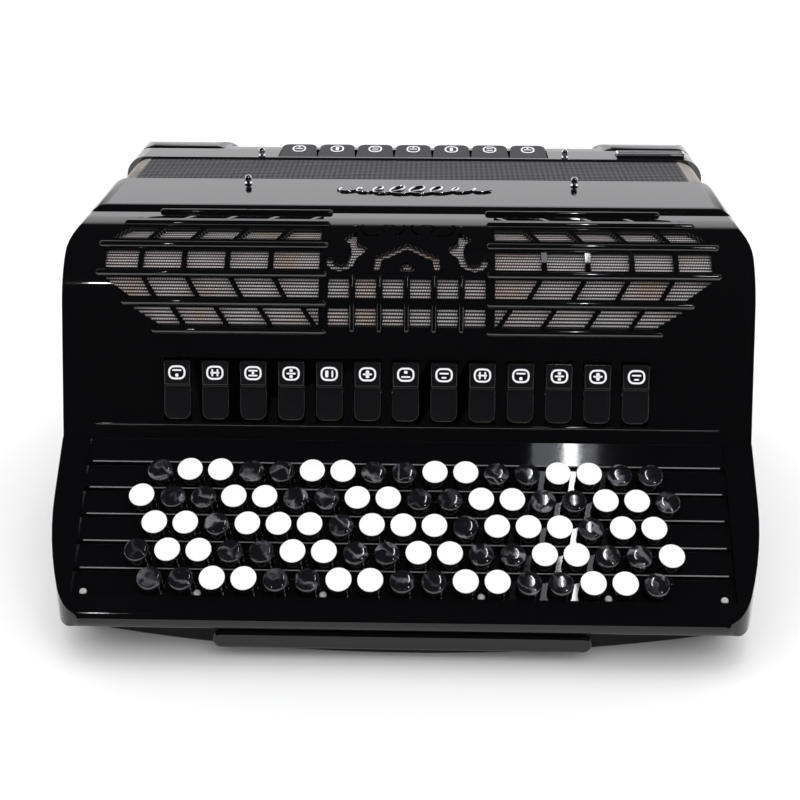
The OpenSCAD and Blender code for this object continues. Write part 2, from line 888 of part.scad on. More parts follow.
module bass_cover() {
    r = bass_cover_depth - 3;
    outer = concat([[bass_seam, -bass_cover_height], [bass_seam, -2.5]],
        arc([bass_end - r, -2.5 - r], r, 90, 0, 3 * CORNER_STEPS), [[bass_end, -bass_cover_height]]);
    inner = concat([[bass_seam - 1, -bass_cover_height + cover_wall], [bass_seam - 1, -2.5 - cover_wall]],
        arc([bass_end - r, -2.5 - r], r - cover_wall, 90, 0, 3 * CORNER_STEPS),
        [[bass_end - cover_wall, -bass_cover_height + cover_wall]]);
    color(BLACK) place()
        difference() {
            union() {
                intersection() {
                    along_x(case_length)
                        polygon(outer);
                    along_y(bass_seam - 1, bass_end + 1)
                        case_outline(0);
                }
                shoulders();
            }
            intersection() {
                along_x(case_length)
                    polygon(inner);
                along_y(bass_seam - 2, bass_end + 1)
                    case_outline(case_wall);
            }
            for (x = [-150:20:150])
                translate([x, bass_end, -(bass_cover_height + 60) / 2])
                    cube([12, 3 * cover_wall, 24], center = true);
        }
}

wheel_x = half_length - 20;
bass_hole_d = bass_button_d + 2 * moving_gap;

function bass_x(c, row) = (c - (bass_columns + 1) / 2) * bass_pitch + (row - 3.5) * 3;
function bass_z(row) = bass_rows_top - (row - 1) * bass_row_pitch;

module bass_button_board() {
    color(BLACK) place()
        difference() {
            along_y(board_face - 5, board_face)
                intersection() {
                    case_outline(case_wall + fit_gap);
                    translate([-case_length, -case_thickness])
                        square([2 * case_length, case_thickness - bass_cover_height - 4]);
                }
            for (row = [1:6])
                for (c = [1:bass_columns])
                    translate([bass_x(c, row), board_face, bass_z(row)])
                        rotate([90, 0, 0])
                            cylinder(d = bass_hole_d, h = 14, center = true);
            translate([-182, board_face, bass_z(3)])
                rotate([90, 0, 0])
                    cylinder(d = 14 + 2 * moving_gap, h = 14, center = true);
            translate([wheel_x, board_face, palm_z])
                cube([wheel_width + 1 + 2 * moving_gap, 20, wheel_d + 4], center = true);
        }
}

module bass_rows(first) {
    color("#eceae4") place()
        for (row = [first:first + 2])
            for (c = [1:bass_columns])
                translate([bass_x(c, row), board_face + bass_button_height, bass_z(row)])
                    rotate([90, 0, 0])
                        cylinder(d = bass_button_d, h = bass_button_height + 9);
}

module bass_buttons_front() {
    bass_rows(1);
}

module bass_buttons_back() {
    bass_rows(4);
}

bass_hinge_z = -1.4;

// A tab that tapers to its far edge, on a small bored barrel at the bellows edge.
module bass_register(i) {
    w = bass_register_pitch - 2 * moving_gap;
    d = bass_register_depth;
    color("#2a2b30") place()
        translate([bass_register_x(i), bass_y + 4.6, bass_hinge_z])
            difference() {
                rotate([bass_register_tilt, 0, 0])
                    union() {
                        translate([0, 0, -1])
                            linear_extrude(height = 2.8)
                                polygon(concat([[-w / 2, -1.8], [w / 2, -1.8]],
                                    arc([w / 2 - 6, d - 8], 5, 10, 90, 4),
                                    arc([-w / 2 + 6, d - 8], 5, 90, 170, 4)));
                        rotate([0, 90, 0])
                            cylinder(d = 3.6, h = w, center = true);
                    }
                rotate([0, 90, 0])
                    cylinder(d = 1.7, h = w + 2, center = true);
            }
}

module bass_register_axle() {
    color(CHROME) place()
        translate([0, bass_y + 4.6, bass_hinge_z])
            rotate([0, 90, 0])
                cylinder(d = 1.6, h = BASS_REGISTERS * bass_register_pitch + 2 * moving_gap, center = true);
}

module converter_bar() {
    color(CHROME) place()
        translate([175, bass_y + 11, 0])
            translate([-25, -4.5, -5])
                cube([50, 9, 8]);
}

module air_button() {
    color(CHROME) place()
        translate([-182, board_face + 8, bass_z(3)])
            rotate([90, 0, 0])
                cylinder(d = 14, h = 18);
}

// Arch of the strap: flat over the hand, curving down to its anchors.
function strap_line(x, off) = board_face + off + strap_rise * (1 - pow(abs(2 * x / strap_span), 5));

module hand_strap() {
    n = 24;
    xs = [for (i = [0:n]) -strap_span / 2 + strap_span * i / n];
    pts = concat([for (x = xs) [x, strap_line(x, 0)]],
        [for (i = [0:n]) [xs[n - i], strap_line(xs[n - i], strap_thickness)]]);
    color("#16130f") place()
        translate([0, 0, palm_z - strap_width / 2])
            linear_extrude(height = strap_width)
                polygon(pts);
}

wheel_d = 28;
wheel_width = 10;
wheel_setback = 9;

module strap_wheel() {
    color(CHROME) place()
        translate([wheel_x, board_face - wheel_setback, palm_z])
            rotate([0, 90, 0]) {
                difference() {
                    cylinder(d = wheel_d, h = wheel_width, center = true);
                    for (a = [0:20:340])
                        rotate([0, 0, a])
                            translate([wheel_d / 2, 0, 0])
                                cylinder(d = 2, h = 2 * wheel_width, center = true);
                }
                cylinder(d = 5, h = 2 * (half_length - case_wall - moving_gap - wheel_x), center = true);
            }
}

module bass_soundboard() {
    color(WOOD) place()
        difference() {
            along_y(bass_seam - 7, bass_seam)
                case_outline(case_wall + fit_gap);
            for (x = [-150:30:150])
                for (z = [-70, -140])
                    translate([x, bass_seam, z])
                        rotate([90, 0, 0])
                            cylinder(d = 12, h = 20, center = true);
        }
}

module bass_reed_blocks() {
    place()
        for (z = [-75, -145])
            translate([0, bass_seam - 7 - 14, z])
                reed_block(300, 14);
}

module bass_strap_studs() {
    place()
        for (x = [-stud_x, stud_x])
            translate([x, bass_y + bass_stud_setback, 0])
                stud();
}

module bass_feet() {
    place()
        for (x = [-150, 150])
            foot(x, bass_y + 24);
}

treble_case();
grille_cover();
grille_bars();
grille_cloth();
register_plate();
for (i = [1:register_count]) treble_register(i);
register_axle();
fingerboard();
keyboard_body();
keyboard_back();
palm_bar();
for (k = [1:ROWS]) treble_row(k);
keyboard_screws();
case_emblem();
treble_soundboard();
treble_reed_blocks();
treble_strap_studs();
treble_feet();
shoulder_brackets();
bellows_frame_treble();
bellows_frame_bass();
bellows();
bellows_corners();
bass_case();
bass_cover();
bass_button_board();
bass_buttons_front();
bass_buttons_back();
for (i = [1:BASS_REGISTERS]) bass_register(i);
bass_register_axle();
converter_bar();
air_button();
hand_strap();
strap_wheel();
bass_soundboard();
bass_reed_blocks();
bass_strap_studs();
bass_feet();
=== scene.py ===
# %% [markdown]
# # A five-row button accordion, closed and lying on its back
# The instrument is a black lacquered case in two halves with a bellows between them. The parts and their
# places were drawn in millimetres beforehand. This lesson gives them soft edges, real finishes and the
# small detail that makes gloss black readable: highlights, seams, pearl buttons and ribbed gauze.

import json
from math import atan2, cos, pi, radians, sin

import bmesh
import bpy
from mathutils import Matrix, Vector

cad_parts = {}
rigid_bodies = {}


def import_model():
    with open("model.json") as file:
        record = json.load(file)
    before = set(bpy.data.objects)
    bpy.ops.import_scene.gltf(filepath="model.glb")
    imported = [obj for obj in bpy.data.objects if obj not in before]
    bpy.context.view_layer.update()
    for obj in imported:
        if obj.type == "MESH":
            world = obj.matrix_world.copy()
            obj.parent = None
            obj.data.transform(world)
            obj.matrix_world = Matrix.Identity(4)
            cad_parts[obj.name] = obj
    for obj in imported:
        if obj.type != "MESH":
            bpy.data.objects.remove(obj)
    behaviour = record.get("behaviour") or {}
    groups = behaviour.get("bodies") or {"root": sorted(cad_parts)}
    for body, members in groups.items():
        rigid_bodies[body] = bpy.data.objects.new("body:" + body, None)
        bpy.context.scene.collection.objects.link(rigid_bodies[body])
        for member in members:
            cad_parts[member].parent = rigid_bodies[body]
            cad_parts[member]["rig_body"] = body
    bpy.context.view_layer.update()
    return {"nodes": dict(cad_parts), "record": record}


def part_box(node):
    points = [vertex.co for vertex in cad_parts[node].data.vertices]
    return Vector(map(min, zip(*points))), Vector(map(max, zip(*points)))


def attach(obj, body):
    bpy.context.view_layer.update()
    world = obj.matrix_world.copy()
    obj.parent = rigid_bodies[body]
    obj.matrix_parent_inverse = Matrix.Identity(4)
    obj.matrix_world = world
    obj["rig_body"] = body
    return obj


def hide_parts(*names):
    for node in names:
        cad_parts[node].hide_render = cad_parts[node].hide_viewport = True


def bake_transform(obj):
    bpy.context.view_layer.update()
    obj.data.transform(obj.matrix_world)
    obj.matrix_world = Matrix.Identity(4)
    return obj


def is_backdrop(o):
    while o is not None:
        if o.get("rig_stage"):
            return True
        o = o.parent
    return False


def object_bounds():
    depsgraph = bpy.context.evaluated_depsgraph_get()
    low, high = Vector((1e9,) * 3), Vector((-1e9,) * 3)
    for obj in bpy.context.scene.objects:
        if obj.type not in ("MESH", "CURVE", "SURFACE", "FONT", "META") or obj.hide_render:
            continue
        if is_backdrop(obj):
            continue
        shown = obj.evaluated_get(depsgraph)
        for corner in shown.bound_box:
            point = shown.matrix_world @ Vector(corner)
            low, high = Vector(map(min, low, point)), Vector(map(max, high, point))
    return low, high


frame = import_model()
NODES = frame["nodes"]

# %% [markdown]
# ## The viewpoint
# A camera is easiest to trust when its place and lens come from measured sizes. This one stands a little
# under a metre away, looks down by 24 degrees and almost straight along the instrument's depth.

# %% Camera
CAMERA_PLACE = Vector((0.01727, -0.88634, 0.47048))
CAMERA_YAW = -0.0271
CAMERA_PITCH = 0.4192
LENS = 61.37

camera_data = bpy.data.cameras.new("viewpoint")
camera_data.lens = LENS
camera_data.sensor_width = 36
camera_data.clip_start = 0.05
camera_data.clip_end = 40
camera = bpy.data.objects.new("viewpoint", camera_data)
bpy.context.scene.collection.objects.link(camera)
forward = Vector((sin(CAMERA_YAW) * cos(CAMERA_PITCH), cos(CAMERA_YAW) * cos(CAMERA_PITCH), -sin(CAMERA_PITCH)))
camera.location = CAMERA_PLACE
camera.rotation_euler = forward.to_track_quat("-Z", "Y").to_euler()
bpy.context.scene.camera = camera

# %% [markdown]
# ## Sizes shared by the pieces
# Every place comes from the drawn boxes, so nothing has to be fitted by eye. A few of the drawing's own
# numbers are repeated here, because a box doesn't tell the radius of a curve or the tilt of a slope.

# %% Sizes
MM = 0.001
GRILLE_RADIUS = 60 * MM
BOARD_TILT = radians(32)
PANEL_LEAN = radians(19)
BUTTON_PITCH = 18.5 * MM
REGISTER_PITCH = 23.4 * MM

cover_low, cover_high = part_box("grille_cover")
CURVE_Y = cover_low.y + GRILLE_RADIUS / cos(PANEL_LEAN)
CURVE_Z = cover_low.z
GRILLE_TOP = cover_high.z
bellows_low, bellows_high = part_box("bellows")
CURVE_TURN = pi / 2 - PANEL_LEAN
CURVE_LENGTH = GRILLE_RADIUS * CURVE_TURN
PANEL_UP = Vector((0, sin(PANEL_LEAN), cos(PANEL_LEAN)))
PANEL_OUT = Vector((0, -cos(PANEL_LEAN), sin(PANEL_LEAN)))
print("grille curve axis:", round(CURVE_Y, 4), round(CURVE_Z, 4))


def on_grille(x, along, lift=0.0):
    """A point on the grille's front: x across, and how far down it is from where the curve starts."""
    if along <= 0:
        return Vector((x, CURVE_Y - along, GRILLE_TOP + lift))
    turn = min(along / GRILLE_RADIUS, CURVE_TURN)
    out = GRILLE_RADIUS + lift
    round_part = Vector((x, CURVE_Y - out * sin(turn), CURVE_Z + out * cos(turn)))
    return round_part - max(0.0, along - CURVE_LENGTH) * PANEL_UP


# %% [markdown]
# ## Shared shader groups
# Three effects come back in several finishes: fine speckle that breaks up a gloss, long wood grain, and the
# cross weave of cloth. Each one is a node group with named inputs, built once. A group gives out masks and
# heights only, and each material decides what to do with them.

# %% Shader group helpers
def new_group(name, inputs, outputs):
    """An empty shader group with named value inputs and outputs."""
    group = bpy.data.node_groups.new(name, "ShaderNodeTree")
    for label, default in inputs:
        socket = group.interface.new_socket(name=label, in_out="INPUT", socket_type="NodeSocketFloat")
        socket.default_value = default
    for label in outputs:
        group.interface.new_socket(name=label, in_out="OUTPUT", socket_type="NodeSocketFloat")
    return group, group.nodes.new("NodeGroupInput"), group.nodes.new("NodeGroupOutput")


def add(tree, kind, settings=(), **inputs):
    """One node, with its settings and its input values or links."""
    node = tree.nodes.new(kind)
    for key, value in dict(settings).items():
        setattr(node, key, value)
    for key, value in inputs.items():
        label = key.replace("_", " ")
        socket = node.inputs[int(key[1:])] if key[0] == "n" and key[1:].isdigit() else node.inputs[label]
        if isinstance(value, bpy.types.NodeSocket):
            tree.links.new(value, socket)
        else:
            socket.default_value = value
    return node


def object_coordinates(tree, scale=(1, 1, 1)):
    """Object coordinates, stretched by a mapping node."""
    place = add(tree, "ShaderNodeTexCoord")
    mapping = add(tree, "ShaderNodeMapping", Vector=place.outputs["Object"], Scale=scale)
    return mapping.outputs["Vector"]


def math_node(tree, operation, *values):
    """A Math node; the values are numbers or sockets."""
    return add(tree, "ShaderNodeMath", {"operation": operation},
               **{f"n{i}": value for i, value in enumerate(values)}).outputs[0]


def ramp(tree, factor, *stops):
    """A colour ramp from (place, colour) stops."""
    node = add(tree, "ShaderNodeValToRGB", Fac=factor)
    while len(node.color_ramp.elements) < len(stops):
        node.color_ramp.elements.new(0.5)
    for element, (place, colour) in zip(node.color_ramp.elements, stops):
        element.position = place
        element.color = (*colour, 1)
    return node.outputs["Color"]


# %% Speckle, grain and weave groups
speckle, g_in, g_out = new_group("speckle", [("Scale", 900.0), ("Low", 0.03), ("High", 0.08)],
                                 ["Roughness", "Height"])
fine = add(speckle, "ShaderNodeTexNoise", Vector=object_coordinates(speckle), Scale=g_in.outputs["Scale"],
           Detail=3.0)
broad = add(speckle, "ShaderNodeTexNoise", Vector=object_coordinates(speckle), Scale=14.0, Detail=2.0)
mixed = math_node(speckle, "MULTIPLY", fine.outputs["Fac"], broad.outputs["Fac"])
spread = add(speckle, "ShaderNodeMapRange", Value=mixed, From_Min=0.15, From_Max=0.4,
             To_Min=g_in.outputs["Low"], To_Max=g_in.outputs["High"])
speckle.links.new(spread.outputs["Result"], g_out.inputs["Roughness"])
speckle.links.new(fine.outputs["Fac"], g_out.inputs["Height"])

grain, g_in, g_out = new_group("wood_grain", [("Rings", 90.0)], ["Ring", "Pore"])
grain_place = object_coordinates(grain, (0.35, 1, 1))
ring = add(grain, "ShaderNodeTexWave", {"wave_type": "RINGS", "rings_direction": "X"}, Vector=grain_place,
           Scale=g_in.outputs["Rings"], Distortion=6.0, Detail=3.0, Detail_Scale=1.4)
pore = add(grain, "ShaderNodeTexNoise", Vector=object_coordinates(grain, (0.06, 1, 1)), Scale=700.0, Detail=4.0)
grain.links.new(ring.outputs["Fac"], g_out.inputs["Ring"])
grain.links.new(pore.outputs["Fac"], g_out.inputs["Pore"])

weave, g_in, g_out = new_group("weave", [("Threads", 1800.0)], ["Height", "Fleck"])
threads = []
for axis in ("X", "Y", "Z"):
    wave = add(weave, "ShaderNodeTexWave", {"bands_direction": axis}, Vector=object_coordinates(weave),
               Scale=math_node(weave, "DIVIDE", g_in.outputs["Threads"], 6.28), Distortion=0.8, Detail=1.0)
    threads.append(wave.outputs["Fac"])
crossing = math_node(weave, "MULTIPLY", math_node(weave, "MAXIMUM", threads[0], threads[1]), threads[2])
fleck = add(weave, "ShaderNodeTexNoise", Vector=object_coordinates(weave), Scale=420.0, Detail=4.0)
weave.links.new(crossing, g_out.inputs["Height"])
weave.links.new(fleck.outputs["Fac"], g_out.inputs["Fleck"])
print("shader groups:", [g.name for g in bpy.data.node_groups])


# %% [markdown]
# ## Finishes
# A finished material is never one flat colour. Lacquer is almost black, but its gloss carries a faint
# speckle of dust and polish. Plastic, chrome, rubber, cloth, wood and leather each get their own roughness
# pattern and a small bump, at the scale that the real surface has.

# %% Material helper
def material(name, colour, roughness, metallic=0.0, ior=1.5, coat=0.0, coat_roughness=0.03, sheen=0.0):
    """A material with its Principled shader ready; gives the material, its tree and the shader."""
    made = bpy.data.materials.new(name)
    made.use_nodes = True
    tree = made.node_tree
    shader = tree.nodes["Principled BSDF"]
    for key, value in {"Base Color": (*colour, 1), "Roughness": roughness, "Metallic": metallic, "IOR": ior,
                       "Coat Weight": coat, "Coat Roughness": coat_roughness, "Sheen Weight": sheen}.items():
        shader.inputs[key].default_value = value
    made.diffuse_color = (*colour, 1)
    return made, tree, shader


def bump(tree, shader, height, strength, distance):
    """Feeds a height through a Bump node into the shader's normal."""
    node = add(tree, "ShaderNodeBump", Height=height, Strength=strength, Distance=distance)
    tree.links.new(node.outputs["Normal"], shader.inputs["Normal"])


def speckled(name, colour, low, high, scale=900.0, strength=0.02, **more):
    """A smooth hard finish whose gloss varies a little over the surface."""
    made, tree, shader = material(name, colour, low, **more)
    group = add(tree, "ShaderNodeGroup", {"node_tree": speckle}, Scale=scale, Low=low, High=high)
    tree.links.new(group.outputs["Roughness"], shader.inputs["Roughness"])
    bump(tree, shader, group.outputs["Height"], strength, 0.2 * MM)
    return made


# %% Lacquer, plastic, chrome and rubber
LACQUER = speckled("black_lacquer", (0.0025, 0.0025, 0.003), 0.02, 0.07, ior=1.5, strength=0.004)
CASE_LACQUER = speckled("case_lacquer", (0.0025, 0.0025, 0.003), 0.05, 0.12, ior=1.75, strength=0.006)
ENAMEL = speckled("grille_enamel", (0.0025, 0.0025, 0.003), 0.03, 0.08, ior=1.72, strength=0.006)
TAB_PLASTIC = speckled("tab_plastic", (0.007, 0.007, 0.008), 0.06, 0.16, ior=1.6, strength=0.01)
BASS_TAB = speckled("bass_tab_plastic", (0.03, 0.03, 0.034), 0.25, 0.4, ior=1.5, strength=0.02)
COLLAR = speckled("collar_plastic", (0.004, 0.004, 0.005), 0.12, 0.25, ior=1.5)
WHITE_CAP = speckled("white_cap", (0.92, 0.91, 0.91), 0.14, 0.24, scale=500.0, ior=1.5)
BASS_CAP = speckled("bass_cap", (0.8, 0.79, 0.75), 0.15, 0.3, scale=500.0, ior=1.5)
INK = speckled("white_ink", (0.9, 0.9, 0.92), 0.35, 0.5, ior=1.45)
SATIN = speckled("satin_nickel", (0.62, 0.61, 0.6), 0.25, 0.45, scale=600.0, metallic=0.3)
# Painted highlight: a mid grey, far lighter than the lacquer, that stands in for the reflection along each step
# edge.
PAINTED_HIGHLIGHT_LINE = speckled("painted_highlight_edge", (0.2, 0.2, 0.21), 0.1, 0.35, scale=300.0, ior=1.6)
CHROME = speckled("chrome", (0.83, 0.83, 0.85), 0.04, 0.14, scale=600.0, metallic=1.0)
RUBBER = speckled("rubber", (0.018, 0.018, 0.019), 0.6, 0.8, scale=1400.0, strength=0.3, ior=1.5)
print("hard finishes:", len(bpy.data.materials))

# %% [markdown]
# ### Pearl buttons
# The dark buttons are cast with swirls of grey pearl. A stretched, warped noise read through a colour ramp
# gives the bands, and the ramp is mostly black so that only the crests shine.

# %% Black pearl
PEARL, tree, shader = material("black_pearl", (0.01, 0.01, 0.012), 0.08, ior=1.6, coat=0.6, coat_roughness=0.02)
warp = add(tree, "ShaderNodeTexNoise", Vector=object_coordinates(tree), Scale=70.0, Detail=2.0)
warped = add(tree, "ShaderNodeVectorMath", {"operation": "MULTIPLY_ADD"}, n0=warp.outputs["Color"],
             n1=(0.024, 0.024, 0.024), n2=object_coordinates(tree))
swirl = add(tree, "ShaderNodeTexWave", {"bands_direction": "DIAGONAL"}, Vector=warped.outputs[0], Scale=34.0,
            Distortion=7.0, Detail=3.0, Detail_Scale=2.2)
cloud = add(tree, "ShaderNodeTexNoise", Vector=object_coordinates(tree), Scale=52.0, Detail=3.0)
depth = math_node(tree, "MULTIPLY", swirl.outputs["Fac"], cloud.outputs["Fac"])
colour = ramp(tree, depth, (0.22, (0.006, 0.006, 0.008)), (0.42, (0.03, 0.03, 0.035)),
              (0.62, (0.17, 0.17, 0.19)))
tree.links.new(colour, shader.inputs["Base Color"])

# %% [markdown]
# ### Gauze behind the windows
# The gauze is woven from a flat metal thread, so it shows as bright dotted ribs across the grille. The piece
# carries its own UV map in metres: U runs across and V runs round the curve, and two waves make the dots.

# %% Ribbed gauze
RIB_PITCH = 2.15 * MM
DOT_PITCH = 1.5 * MM
DOT_SHIFT = 2.1
GAUZE, tree, shader = material("ribbed_gauze", (0.5, 0.44, 0.44), 0.4, metallic=0.25)
uv = add(tree, "ShaderNodeUVMap", {"uv_map": "cloth"})
split = add(tree, "ShaderNodeSeparateXYZ", Vector=uv.outputs["UV"])
rib_turn = math_node(tree, "MULTIPLY", split.outputs["Y"], 2 * pi / RIB_PITCH)
dot_turn = math_node(tree, "MULTIPLY", split.outputs["X"], 2 * pi / DOT_PITCH)
rib_number = math_node(tree, "FLOOR", math_node(tree, "MULTIPLY", split.outputs["Y"], 1 / RIB_PITCH))
shifted = math_node(tree, "ADD", dot_turn, math_node(tree, "MULTIPLY", rib_number, DOT_SHIFT))
rib = math_node(tree, "MULTIPLY_ADD", math_node(tree, "SINE", rib_turn), 0.5, 0.5)
dots = math_node(tree, "MULTIPLY_ADD", math_node(tree, "SINE", shifted), 0.34, 0.66)
thread = math_node(tree, "MULTIPLY", rib, dots)
tint = add(tree, "ShaderNodeTexNoise", Vector=object_coordinates(tree), Scale=34.0, Detail=2.0)
warm = ramp(tree, tint.outputs["Fac"], (0.4, (0.86, 0.82, 0.84)), (0.58, (0.86, 0.74, 0.74)),
            (0.72, (0.8, 0.6, 0.46)))
lit = ramp(tree, thread, (0.26, (0.012, 0.01, 0.011)), (0.62, (0.85, 0.85, 0.85)), (0.9, (1, 1, 1)))
mix = add(tree, "ShaderNodeMix", {"data_type": "RGBA", "blend_type": "MULTIPLY"}, n0=1.0, n6=warm, n7=lit)
tree.links.new(mix.outputs[2], shader.inputs["Base Color"])
bump(tree, shader, thread, 0.6, 0.4 * MM)

# %% [markdown]
# ### Bellows tape and corner metal
# Each fold is bound with a dark tape with a ribbed print, and capped with thin metal at the corners. The
# stripes follow the edge of the fold, so they use a UV map that runs round the outline.

# %% Bellows tape
STRIPE_PITCH = 3.6 * MM
THREAD_PITCH = 0.9 * MM
CROSS_PITCH = 1.3 * MM
TAPE, tree, shader = material("bellows_tape", (0.03, 0.03, 0.034), 0.55, sheen=0.2)
uv = add(tree, "ShaderNodeUVMap", {"uv_map": "cloth"})
split = add(tree, "ShaderNodeSeparateXYZ", Vector=uv.outputs["UV"])
stripe = math_node(tree, "SINE", math_node(tree, "MULTIPLY", split.outputs["X"], 2 * pi / STRIPE_PITCH))
thread = math_node(tree, "SINE", math_node(tree, "MULTIPLY", split.outputs["X"], 2 * pi / THREAD_PITCH))
cross = math_node(tree, "SINE", math_node(tree, "MULTIPLY", split.outputs["Y"], 2 * pi / CROSS_PITCH))
print_height = math_node(tree, "MULTIPLY_ADD", stripe, 0.35, math_node(tree, "MULTIPLY", thread, 0.2))
height = math_node(tree, "MULTIPLY_ADD", cross, 0.15, print_height)
level = math_node(tree, "MULTIPLY_ADD", height, 0.5, 0.5)
colour = ramp(tree, level, (0.2, (0.010, 0.010, 0.012)), (0.8, (0.085, 0.083, 0.092)))
tree.links.new(colour, shader.inputs["Base Color"])
bump(tree, shader, height, 0.5, 0.4 * MM)

CAP_METAL = speckled("corner_metal", (0.5, 0.46, 0.43), 0.3, 0.5, scale=300.0, strength=0.08, metallic=0.6)
tree = CAP_METAL.node_tree
worn = add(tree, "ShaderNodeTexNoise", Vector=object_coordinates(tree, (1, 0.2, 1)), Scale=120.0, Detail=4.0)
colour = ramp(tree, worn.outputs["Fac"], (0.3, (0.36, 0.32, 0.29)), (0.7, (0.62, 0.57, 0.54)))
tree.links.new(colour, tree.nodes["Principled BSDF"].inputs["Base Color"])

# %% [markdown]
# ### Cloth, leather and bare wood
# The back of the keyboard is covered with a matt cloth, the hand strap is grained leather, and the parts
# inside are bare spruce and beech.

# %% Soft and bare finishes
CLOTH, tree, shader = material("matt_cloth", (0.006, 0.006, 0.006), 0.85, sheen=0.15)
group = add(tree, "ShaderNodeGroup", {"node_tree": weave}, Threads=5200.0)
colour = ramp(tree, group.outputs["Fleck"], (0.3, (0.003, 0.003, 0.003)), (0.75, (0.012, 0.012, 0.012)))
tree.links.new(colour, shader.inputs["Base Color"])
bump(tree, shader, group.outputs["Height"], 0.35, 0.3 * MM)

LEATHER, tree, shader = material("black_leather", (0.014, 0.012, 0.011), 0.42, ior=1.5)
cell = add(tree, "ShaderNodeTexVoronoi", {"feature": "SMOOTH_F1"}, Vector=object_coordinates(tree), Scale=620.0)
crease = add(tree, "ShaderNodeTexNoise", Vector=object_coordinates(tree), Scale=120.0, Detail=5.0)
colour = ramp(tree, crease.outputs["Fac"], (0.3, (0.008, 0.007, 0.006)), (0.75, (0.03, 0.026, 0.022)))
tree.links.new(colour, shader.inputs["Base Color"])
rough = add(tree, "ShaderNodeMapRange", Value=crease.outputs["Fac"], To_Min=0.34, To_Max=0.6)
tree.links.new(rough.outputs["Result"], shader.inputs["Roughness"])
pebble = math_node(tree, "MULTIPLY_ADD", crease.outputs["Fac"], 0.6, cell.outputs["Distance"])
bump(tree, shader, pebble, 0.35, 0.5 * MM)

WOOD, tree, shader = material("bare_wood", (0.5, 0.34, 0.18), 0.5, ior=1.45)
group = add(tree, "ShaderNodeGroup", {"node_tree": grain}, Rings=60.0)
colour = ramp(tree, group.outputs["Ring"], (0.2, (0.56, 0.39, 0.21)), (0.85, (0.4, 0.25, 0.12)))
tree.links.new(colour, shader.inputs["Base Color"])
bump(tree, shader, group.outputs["Pore"], 0.15, 0.3 * MM)
print("materials:", len(bpy.data.materials))


# %% [markdown]
# ## Making a piece
# Every piece ends the same way: its mesh becomes an object at the origin, is shaded smooth, gets its
# materials, and is told which drawn body it moves with; the drawn node it replaces is hidden.

# %% Piece helpers
def bodies_of(node):
    """The drawn body that a node belongs to."""
    return NODES[node]["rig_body"]


def mesh_of(bm, name):
    """Turns a bmesh into a mesh and frees it."""
    mesh = bpy.data.meshes.new(name)
    bm.to_mesh(mesh)
    bm.free()
    return mesh


def points_in(geometry):
    """The vertices among the geometry that a bmesh operator made."""
    return [g for g in geometry if isinstance(g, bmesh.types.BMVert)]


def finish_piece(bm, name, materials, node=None, body=None, sharp=35):
    """Turns a bmesh into a smooth-shaded object that stands for a drawn node."""
    mesh = mesh_of(bm, name)
    for made in materials:
        mesh.materials.append(made)
    mesh.polygons.foreach_set("use_smooth", [True] * len(mesh.polygons))
    mesh.set_sharp_from_angle(angle=radians(sharp))
    piece = bpy.data.objects.new(name, mesh)
    bpy.context.scene.collection.objects.link(piece)
    if node:
        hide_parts(node)
    if body != "none":
        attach(piece, body or bodies_of(node))
    return piece


def soft_edges(piece, width, segments=2, angle=40):
    """Rounds the sharp edges of a piece by a small width, and keeps its large faces flat to the light."""
    rounding = piece.modifiers.new("soft_edges", "BEVEL")
    rounding.width = width
    rounding.segments = segments
    rounding.limit_method = "ANGLE"
    rounding.angle_limit = radians(angle)
    rounding.harden_normals = False
    rounding.use_clamp_overlap = True
    rounding.miter_outer = "MITER_ARC"
    weighted = piece.modifiers.new("flat_faces", "WEIGHTED_NORMAL")
    weighted.mode = "FACE_AREA"
    weighted.weight = 100
    weighted.keep_sharp = False
    return piece


def merged_copy(node, flat=0.3):
    """A bmesh copy of a drawn node, its doubles merged and, where flat is set, its flat faces made whole."""
    bm = bmesh.new()
    bm.from_mesh(NODES[node].data)
    bmesh.ops.remove_doubles(bm, verts=bm.verts, dist=0.002 * MM)
    if flat:
        bmesh.ops.dissolve_limit(bm, angle_limit=radians(flat), use_dissolve_boundaries=False, verts=bm.verts,
                                 edges=bm.edges, delimit=set())
    return bm


def soft_copy(node, name, materials, width, segments=2, angle=40, flat=0.3):
    """A drawn node with rounded edges."""
    piece = finish_piece(merged_copy(node, flat), name, materials, node=node, sharp=angle)
    return soft_edges(piece, width, segments, angle)


# %% [markdown]
# ## Lacquered shells
# The case halves, the register plate, the fingerboard and the keyboard body are copies of the drawn parts
# whose edges are rounded. Thick polyester lacquer never has a knife edge, and the thin bright line along
# each rounded edge is what shows the shape of a black instrument.

# %% Case halves, board and keyboard
soft_copy("treble_case", "treble_case_shell", [CASE_LACQUER], 0.6 * MM, 3)
soft_copy("bass_case", "bass_case_shell", [CASE_LACQUER], 0.6 * MM, 3)
soft_copy("bass_cover", "bass_cover_shell", [CASE_LACQUER], 0.5 * MM, 2, 50, flat=0)
soft_copy("bass_button_board", "bass_palm_board", [CASE_LACQUER], 0.3 * MM)
soft_copy("register_plate", "register_panel", [ENAMEL], 0.8 * MM, 3)
soft_copy("fingerboard", "stepped_fingerboard", [LACQUER], 0.9 * MM, 3)
soft_copy("keyboard_body", "keyboard_shell", [LACQUER], 1.1 * MM, 4)
soft_copy("palm_bar", "long_palm_bar", [LACQUER], 3.6 * MM, 6)
soft_copy("keyboard_back", "cloth_covered_back", [CLOTH], 2.0 * MM, 3)
print("lacquered shells made")

# %% [markdown]
# ## Grille cover
# The cover is pressed sheet metal, enamelled black. Flat facets on its quarter round would break every
# reflection, so each corner normal on the outer and inner skin is pointed straight away from the curve's
# axis, whatever the facets do. The window edges keep their own normals.

